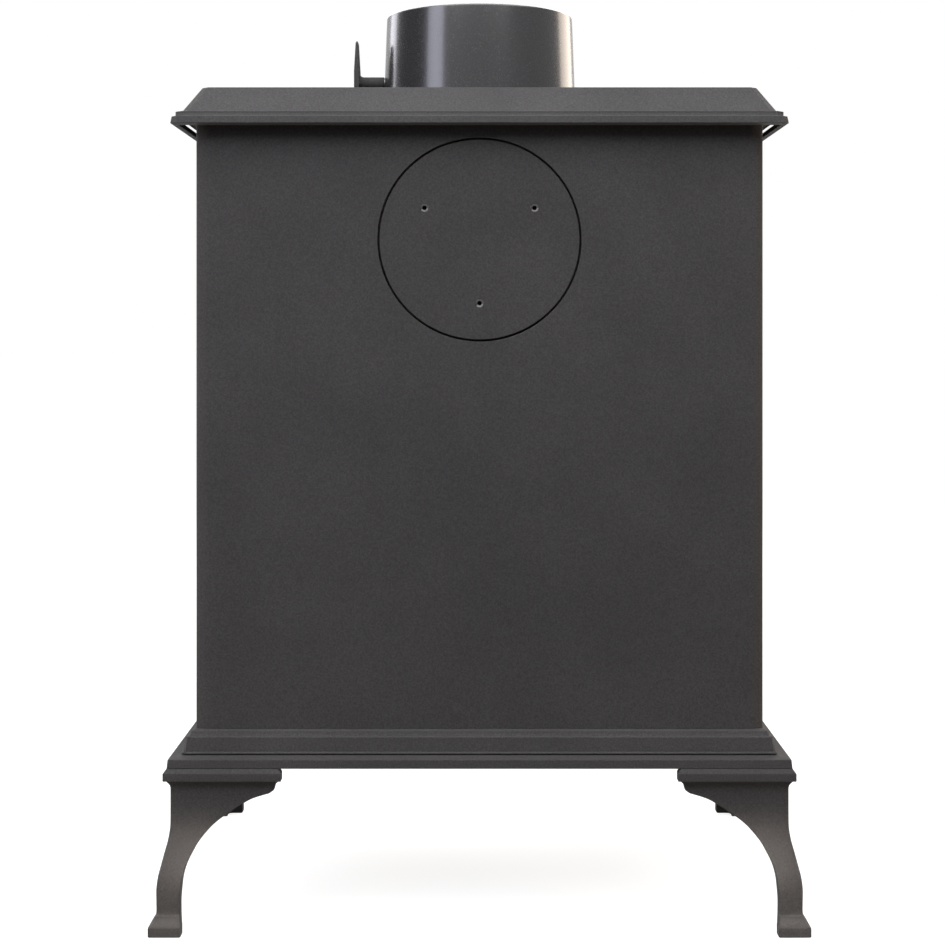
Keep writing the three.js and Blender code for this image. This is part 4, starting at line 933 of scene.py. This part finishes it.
def make_handle():
    hub, length, bore = LATCH["hub"], LATCH["hub_length"], 5.3
    end = length - 2.6
    boss = [(bore, 0), (hub - 0.8, 0), (hub, 0.7), (hub, length - 2.4), (hub - 0.7, length - 1.2),
            (hub - 2.4, length - 0.3), (3.6, length), (3.1, length), (2.9, length - 0.5), (0, length - 0.6),
            (0, end), (bore, end)]
    across = LATCH["x"]
    made = turned("turned_door_handle", STEEL, boss, 64, (across, LATCH["hub_back"], LATCH["z"]), "-Y")
    front = LATCH["hub_back"] - length
    back = front + LATCH["arm"]
    arm = []
    for z, half, rise in ((358.3, 5.0, 0.6), (358.9, 5.5, 0), (370, 4.7, 0), (382, 4.9, 0), (391, 6.4, 0.1),
                          (396, 7.6, 0.3)):
        arm.append([(across + x, y, z) for x, y in rounded(half, front + rise, back - rise, 1.6, 3)])
    shape = smoothed([(0.4, 5.5), (3, 5.35), (7, 6.3), (12, 7.7), (18, 7.95), (25, 7.8), (32, 6.9), (38, 5.7),
                      (40.6, 4.7), (41.7, 2.6)], 9)
    grip = [(0, 0), (5.1, 0)] + [(radius, height) for height, radius in shape] + [(0, GRIP["length"])]
    hanging = revolve("handle_grip", grip, 64, (across, GRIP["y"], GRIP["top"]), "-Z", grip_groove)
    carved(made, [skin("handle_arm", arm), hanging], "UNION")
    carry(shade(made, 42), "door_handle")


make_handle()


# Air wheel with scalloped rim, raised edge and hub, turning on a slotted stud
WHEEL = {"radius": 25, "thickness": 6, "hub": 7, "hub_length": 12, "bore": 3.3,
         "scallop": 6, "scallop_at": 28, "hole": 3.6, "hole_at": 15}


def ring_of(count, radius, start=0.0):
    angles = [start + i * 4 * QUARTER / count for i in range(count)]
    return [(radius * math.cos(angle), radius * math.sin(angle)) for angle in angles]


def make_air_wheel():
    radius, rise, hub, length = WHEEL["radius"], WHEEL["thickness"], WHEEL["hub"], WHEEL["hub_length"]
    bore, back = WHEEL["bore"], DRAWER_FACE - 0.3
    profile = [(bore, 0.3), (bore + 0.3, 0), (radius - 0.6, 0), (radius, 0.6), (radius, rise - 0.8),
               (radius - 0.8, rise), (21.6, rise), (20.7, rise - 1.1), (hub + 2.2, rise - 1.1),
               (hub + 0.5, rise - 0.5), (hub, rise + 0.8), (hub, length - 0.9), (hub - 0.9, length),
               (bore + 0.4, length), (bore, length - 0.4)]
    made = turned("scalloped_air_wheel", STEEL, profile, 144, (0, back, WHEEL_HEIGHT), "-Y")
    scallop, hole = WHEEL["scallop"], WHEEL["hole"]
    bite = [(0, -1), (scallop + 0.6, -1), (scallop + 0.6, 0), (scallop, 0.7), (scallop, rise - 0.7),
            (scallop + 0.6, rise + 0.1), (scallop + 0.6, rise + 1), (0, rise + 1)]
    drill = [(0, -1), (hole, -1), (hole, rise - 1.6), (hole + 0.5, rise - 1), (hole + 0.5, rise + 1),
             (0, rise + 1)]
    tools = []
    for name, shape, sides, places in (("scallop", bite, 48, ring_of(6, WHEEL["scallop_at"], QUARTER / 3)),
                                       ("air_hole", drill, 32, ring_of(6, WHEEL["hole_at"]))):
        tools += [revolve(name, shape, sides, (x, back, WHEEL_HEIGHT + z), "-Y") for x, z in places]
    carry(shade(carved(made, tools), 38), "air_wheel")


def make_wheel_stud():
    profile = [(0, 0), (1.6, 0.02), (3.2, 0.35), (4.4, 1.1), (5, 2.2), (5, 2.8), (4.8, 3), (3, 3), (3, 22.7),
               (2.5, 23.3), (0, 23.3)]
    stud = turned("slotted_stud", STEEL, profile, 48, (0, -178.9, WHEEL_HEIGHT), "Y")
    slot = [[(x, y, WHEEL_HEIGHT + z) for x, z in ((-6, -0.6), (6, -0.6), (6, 0.6), (-6, 0.6))]
            for y in (-180, -177.6)]
    carry(shade(carved(stud, [skin("stud_slot", slot)]), 42), "air_wheel_stud")


make_air_wheel()
make_wheel_stud()


# Door seal: glass-fibre rope, eight strands braided over a core, round the back of the door
ROPE_RING = {"half_width": 157, "bottom": 250.3, "top": 552.3, "y": -158.8, "corner": 11}


def braid_tree():
    """Strands that wind both ways round a closed path, over and under each other, on a plain core."""
    sizes = ("Core Radius", "Strand Radius", "Wave", "Turns", "Strands", "Count")
    tree, given = new_tree("braided_rope", sizes)
    path = result(tree, "GeometryNodeMeshToCurve", {0: given["Geometry"]})
    fine = result(tree, "GeometryNodeResampleCurve", {"Curve": path, "Count": given["Count"]})
    copies = node(tree, "GeometryNodeDuplicateElements",
                  {"Geometry": fine, "Amount": given["Strands"]}, domain="SPLINE").outputs
    which = copies["Duplicate Index"]
    parity = maths(tree, "MODULO", which, 2.0)
    hand = maths(tree, "MULTIPLY_ADD", parity, -2.0, 1.0)
    pair = maths(tree, "SUBTRACT", which, parity)
    start = maths(tree, "MULTIPLY", pair, maths(tree, "DIVIDE", 4 * QUARTER, given["Strands"]))
    along = node(tree, "GeometryNodeSplineParameter").outputs["Factor"]
    wound = maths(tree, "MULTIPLY", maths(tree, "MULTIPLY", along, given["Turns"]), 4 * QUARTER)
    angle = maths(tree, "MULTIPLY_ADD", wound, hand, start)
    beat = maths(tree, "MULTIPLY", wound, maths(tree, "DIVIDE", given["Strands"], 2.0))
    lift = maths(tree, "MULTIPLY", maths(tree, "COSINE", beat), hand)
    reach = maths(tree, "MULTIPLY_ADD", lift, given["Wave"], given["Core Radius"])
    forward = result(tree, "GeometryNodeInputTangent")
    side = vectors(tree, "CROSS_PRODUCT", {0: forward, 1: (0, 1, 0)})
    flat = vectors(tree, "SCALE", {0: side, "Scale": maths(tree, "COSINE", angle)})
    depth = result(tree, "ShaderNodeCombineXYZ", {"Y": maths(tree, "SINE", angle)})
    offset = vectors(tree, "SCALE", {0: vectors(tree, "ADD", {0: flat, 1: depth}), "Scale": reach})
    laid = result(tree, "GeometryNodeSetPosition", {"Geometry": copies[0], "Offset": offset})
    tubes = []
    for line, sides, radius in ((laid, 6, "Strand Radius"), (path, 12, "Core Radius")):
        ring = result(tree, "GeometryNodeCurvePrimitiveCircle",
                      {"Resolution": sides, "Radius": given[radius]})
        tubes.append(result(tree, "GeometryNodeCurveToMesh", {"Curve": line, "Profile Curve": ring}))
    return end_tree(tree, joined(tree, *tubes), given["Finish"], False)


def make_rope():
    path = rounded(ROPE_RING["half_width"], ROPE_RING["bottom"], ROPE_RING["top"], ROPE_RING["corner"], 8)
    places = [(x, ROPE_RING["y"], z) for x, z in path]
    edges = [(i, (i + 1) % len(places)) for i in range(len(places))]
    rope = grown("braided_door_rope", in_metres(places), edges, braid_tree(), ROPE, core_radius=2.2 * MM,
                 strand_radius=0.98 * MM, wave=0.32 * MM, turns=60, strands=8, count=1440)
    rope.data.polygons.foreach_set("use_smooth", [True] * len(rope.data.polygons))
    carry(rope, "door_rope_seal")


make_rope()


# Fastenings and shafts, turned from steel bar
def make_shaft(name, node_name, profile, middle, axis):
    finish = FINISH_BY_SLOT[SLOT_OF[node_name]]
    carry(shade(turned(name, finish, profile, 40, middle, axis), 40), node_name)


def make_hinge_pins():
    """Domed head up, shank down through the knuckles, with a rounded end."""
    profile = [(0, 0), (1.8, 0.12), (3.4, 0.55), (4.6, 1.3), (5.2, 2.2), (5.4, 2.8), (5.2, 3), (3.2, 3),
               (3.2, 34.4), (2.6, 35.2), (1.4, 35.6), (0, 35.6)]
    for level, top in (("lower", 330.9), ("upper", 540.9)):
        make_shaft("domed_hinge_pin_" + level, "hinge_pin_" + level, profile, (-180, -165, top), "-Z")


make_hinge_pins()
make_shaft("cross_damper_spindle", "damper_spindle",
           [(0, 0), (2.6, 0), (3.3, 0.7), (3.3, 169.2), (4.2, 169.2), (4.6, 169.6), (4.6, 171.5),
            (4.2, 171.9), (3.3, 171.9), (3.3, 176), (2.9, 176.4), (0, 176.4)],
           (-75, COLLAR["y"], SPINDLE_HEIGHT), "X")


def make_spindle_bush():
    """Painted sleeve over the spindle between collar and lever, flared into the lever."""
    start, length, bore, radius = 77.2, 19.6, 3.4, 4.8
    flare, flare_length = 2.4, 3
    neck = length - flare_length
    profile = [(bore, 0), (radius - 0.5, 0), (radius, 0.5), (radius, neck)]
    profile += [(radius + flare - flare * math.cos(a), neck + flare_length * math.sin(a))
                for a in (QUARTER * k / 5 for k in range(1, 5))]
    profile.append((bore, length))
    bush = turned("painted_spindle_bush", PAINT, profile, 40, (start, COLLAR["y"], SPINDLE_HEIGHT), "X")
    shade(bush, 40)
    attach(bush, "damper")


make_spindle_bush()
make_shaft("round_handle_spindle", "handle_spindle",
           [(0, 0), (4.4, 0), (5, 0.6), (5, 48.7), (4.4, 49.3), (0, 49.3)],
           (LATCH["x"], -187.3, LATCH["z"]), "Y")
make_shaft("long_riddling_rod", "riddling_rod",
           [(0, 0), (2.8, 0), (2.8, 82.2), (2.2, 82.99), (0, 83)], (0, -163, 235.1), "Y")


def thread_tree():
    """Rolled thread round the lower end of a rod, which the tree is run over."""
    tree, given = new_tree("rolled_thread", ("Root Radius", "Crest", "Pitch", "Length", "Start"))
    helix = result(tree, "GeometryNodeCurveSpiral",
                   {"Resolution": 24, "Rotations": maths(tree, "DIVIDE", given["Length"], given["Pitch"]),
                    "Start Radius": given["Root Radius"], "End Radius": given["Root Radius"],
                    "Height": given["Length"]})
    ridge = result(tree, "GeometryNodeCurvePrimitiveCircle", {"Resolution": 4, "Radius": given["Crest"]})
    wound = result(tree, "GeometryNodeCurveToMesh",
                   {"Curve": helix, "Profile Curve": ridge, "Fill Caps": True})
    foot = result(tree, "ShaderNodeCombineXYZ", {"Z": given["Start"]})
    box = node(tree, "GeometryNodeBoundBox", {0: given["Geometry"]}).outputs
    middle = node(tree, "ShaderNodeMix", {0: 0.5, 4: box["Min"], 5: box["Max"]}, data_type="VECTOR")
    axis = vectors(tree, "MULTIPLY", {0: middle.outputs[1], 1: (1, 1, 0)})
    raised = result(tree, "GeometryNodeTransform",
                    {0: wound, "Translation": vectors(tree, "ADD", {0: axis, 1: foot})})
    return end_tree(tree, joined(tree, given["Geometry"], raised), given["Finish"], False)


def make_tie_rods():
    threads = thread_tree()
    length = ROD["top"] - ROD["bottom"]
    across, deep = BODY["half_width"] - ROD["inset"], BODY["half_depth"] - ROD["inset"]
    profile = [(0, 0), (2.8, 0), (3.45, 0.7), (3.45, 22), (4, 23), (4, length - 0.8), (3.2, length),
               (0, length)]
    for i, (x, y) in enumerate(((across, deep), (-across, deep), (-across, -deep), (across, -deep))):
        name = f"tie_rod_{i + 1}"
        rod = shade(turned("threaded_" + name, STEEL, profile, 40, (x, y, ROD["bottom"])), 40)
        run_tree(rod, threads, STEEL, root_radius=3.3 * MM, crest=0.62 * MM, pitch=1.25 * MM, length=19 * MM,
                 start=(ROD["bottom"] + 1.2) * MM)
        carry(rod, name)


make_tie_rods()


def make_collar_bolts():
    """Hexagon heads with a washer face, under the pocket's ceiling."""
    washer = 3.45
    profile = [(0, 0), (3.6, 0), (4.3, 0.45), (4.3, 3.4), (4.6, 3.5), (4.6, 4), (2.6, 4), (2.6, 22.9),
               (2.1, 23.7), (0, 23.7)]

    def hexagon(angle, height):
        return 0.5 - 0.5 * math.cos(6 * angle) if 0 < height < washer else 0

    for i, (x, y) in enumerate(((0, 134.75), (-63.87, 24.13), (63.87, 24.13))):
        name = f"collar_bolt_{i + 1}"
        made = turned("hexagon_" + name, STEEL, profile, 48, (x, y, 626.5), "Z", hexagon)
        carry(shade(made, 30), name)


make_collar_bolts()


# Glass clips: pressed steel, each held by two countersunk screws
def make_glass_clips():
    half_width, half_height, corner = 6, 20, 2.2
    sink = [(0, -3), (1.7, -3), (1.7, -1.3), (2.7, -0.1), (2.7, 1), (0, 1)]
    for i, (hand, z) in enumerate(((-1, 330.3), (1, 330.3), (-1, 474.3), (1, 474.3))):
        name = f"glass_clip_{i + 1}"
        rings = []
        for y, inset in ((-158.7, 0.25), (-158.45, 0), (-157.35, 0), (-157.1, 0.25)):
            reach = half_height - inset
            outline = rounded(half_width - inset, z - reach, z + reach, corner - inset, 4)
            rings.append([(hand * 116 + x, y, up) for x, up in outline])
        clip = piece("pressed_" + name, skin("pressed_" + name, rings), STEEL)
        spots = [(hand * 118.9, -157.1, z + offset) for offset in (-12, 12)]
        carved(clip, [revolve("clip_hole", sink, 28, spot, "Y") for spot in spots])
        carry(shade(clip, 40), name)
        heads = in_metres([(x, y - 0.8, up) for x, y, up in spots])
        screws = grown("screws_" + name, heads, [], SCREWS, STEEL, head_radius=2.5 * MM, head_height=1.3 * MM,
                       socket_radius=1.1 * MM, shank_radius=1.5 * MM, shank_length=6 * MM, turn=QUARTER)
        shade(screws)
        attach(screws, "door")


make_glass_clips()


# Ash pan: folded sheet with rounded corners and a rolled rim
PAN = {"half_width": 126, "front": -155, "rear": 117, "bottom": 155.3, "top": 209.3, "wall": 1.2, "roll": 2.6}


def make_ash_pan():
    def loop(inset, z, corner):
        outline = rounded(PAN["half_width"] - inset, PAN["front"] + inset, PAN["rear"] - inset, corner, 6)
        return [(x, y, z) for x, y in outline]

    roll, wall, top, low = PAN["roll"], PAN["wall"], PAN["top"], PAN["bottom"]
    rows = [loop(roll + 2.5, low, 5), loop(roll + 0.7, low + 0.5, 6.8), loop(roll, low + 2, 7.5),
            loop(roll, top - 2 * roll, 7.5)]
    for k in range(1, 9):
        angle = -QUARTER + k * 3.4 * QUARTER / 8
        reach = roll * math.cos(angle)
        rows.append(loop(roll - reach, top - roll + roll * math.sin(angle), 7.5 + reach))
    rows += [loop(roll + wall, top - roll * 1.9, 6.3), loop(roll + wall, low + 3.2, 6.3),
             loop(roll + wall + 0.8, low + 1.7, 5.5), loop(roll + wall + 2.4, low + wall, 3.9)]
    made = piece("rolled_rim_ash_pan", skin("rolled_rim_ash_pan", rows), SHEET)
    carry(shade(made, 40), "ash_pan")


make_ash_pan()
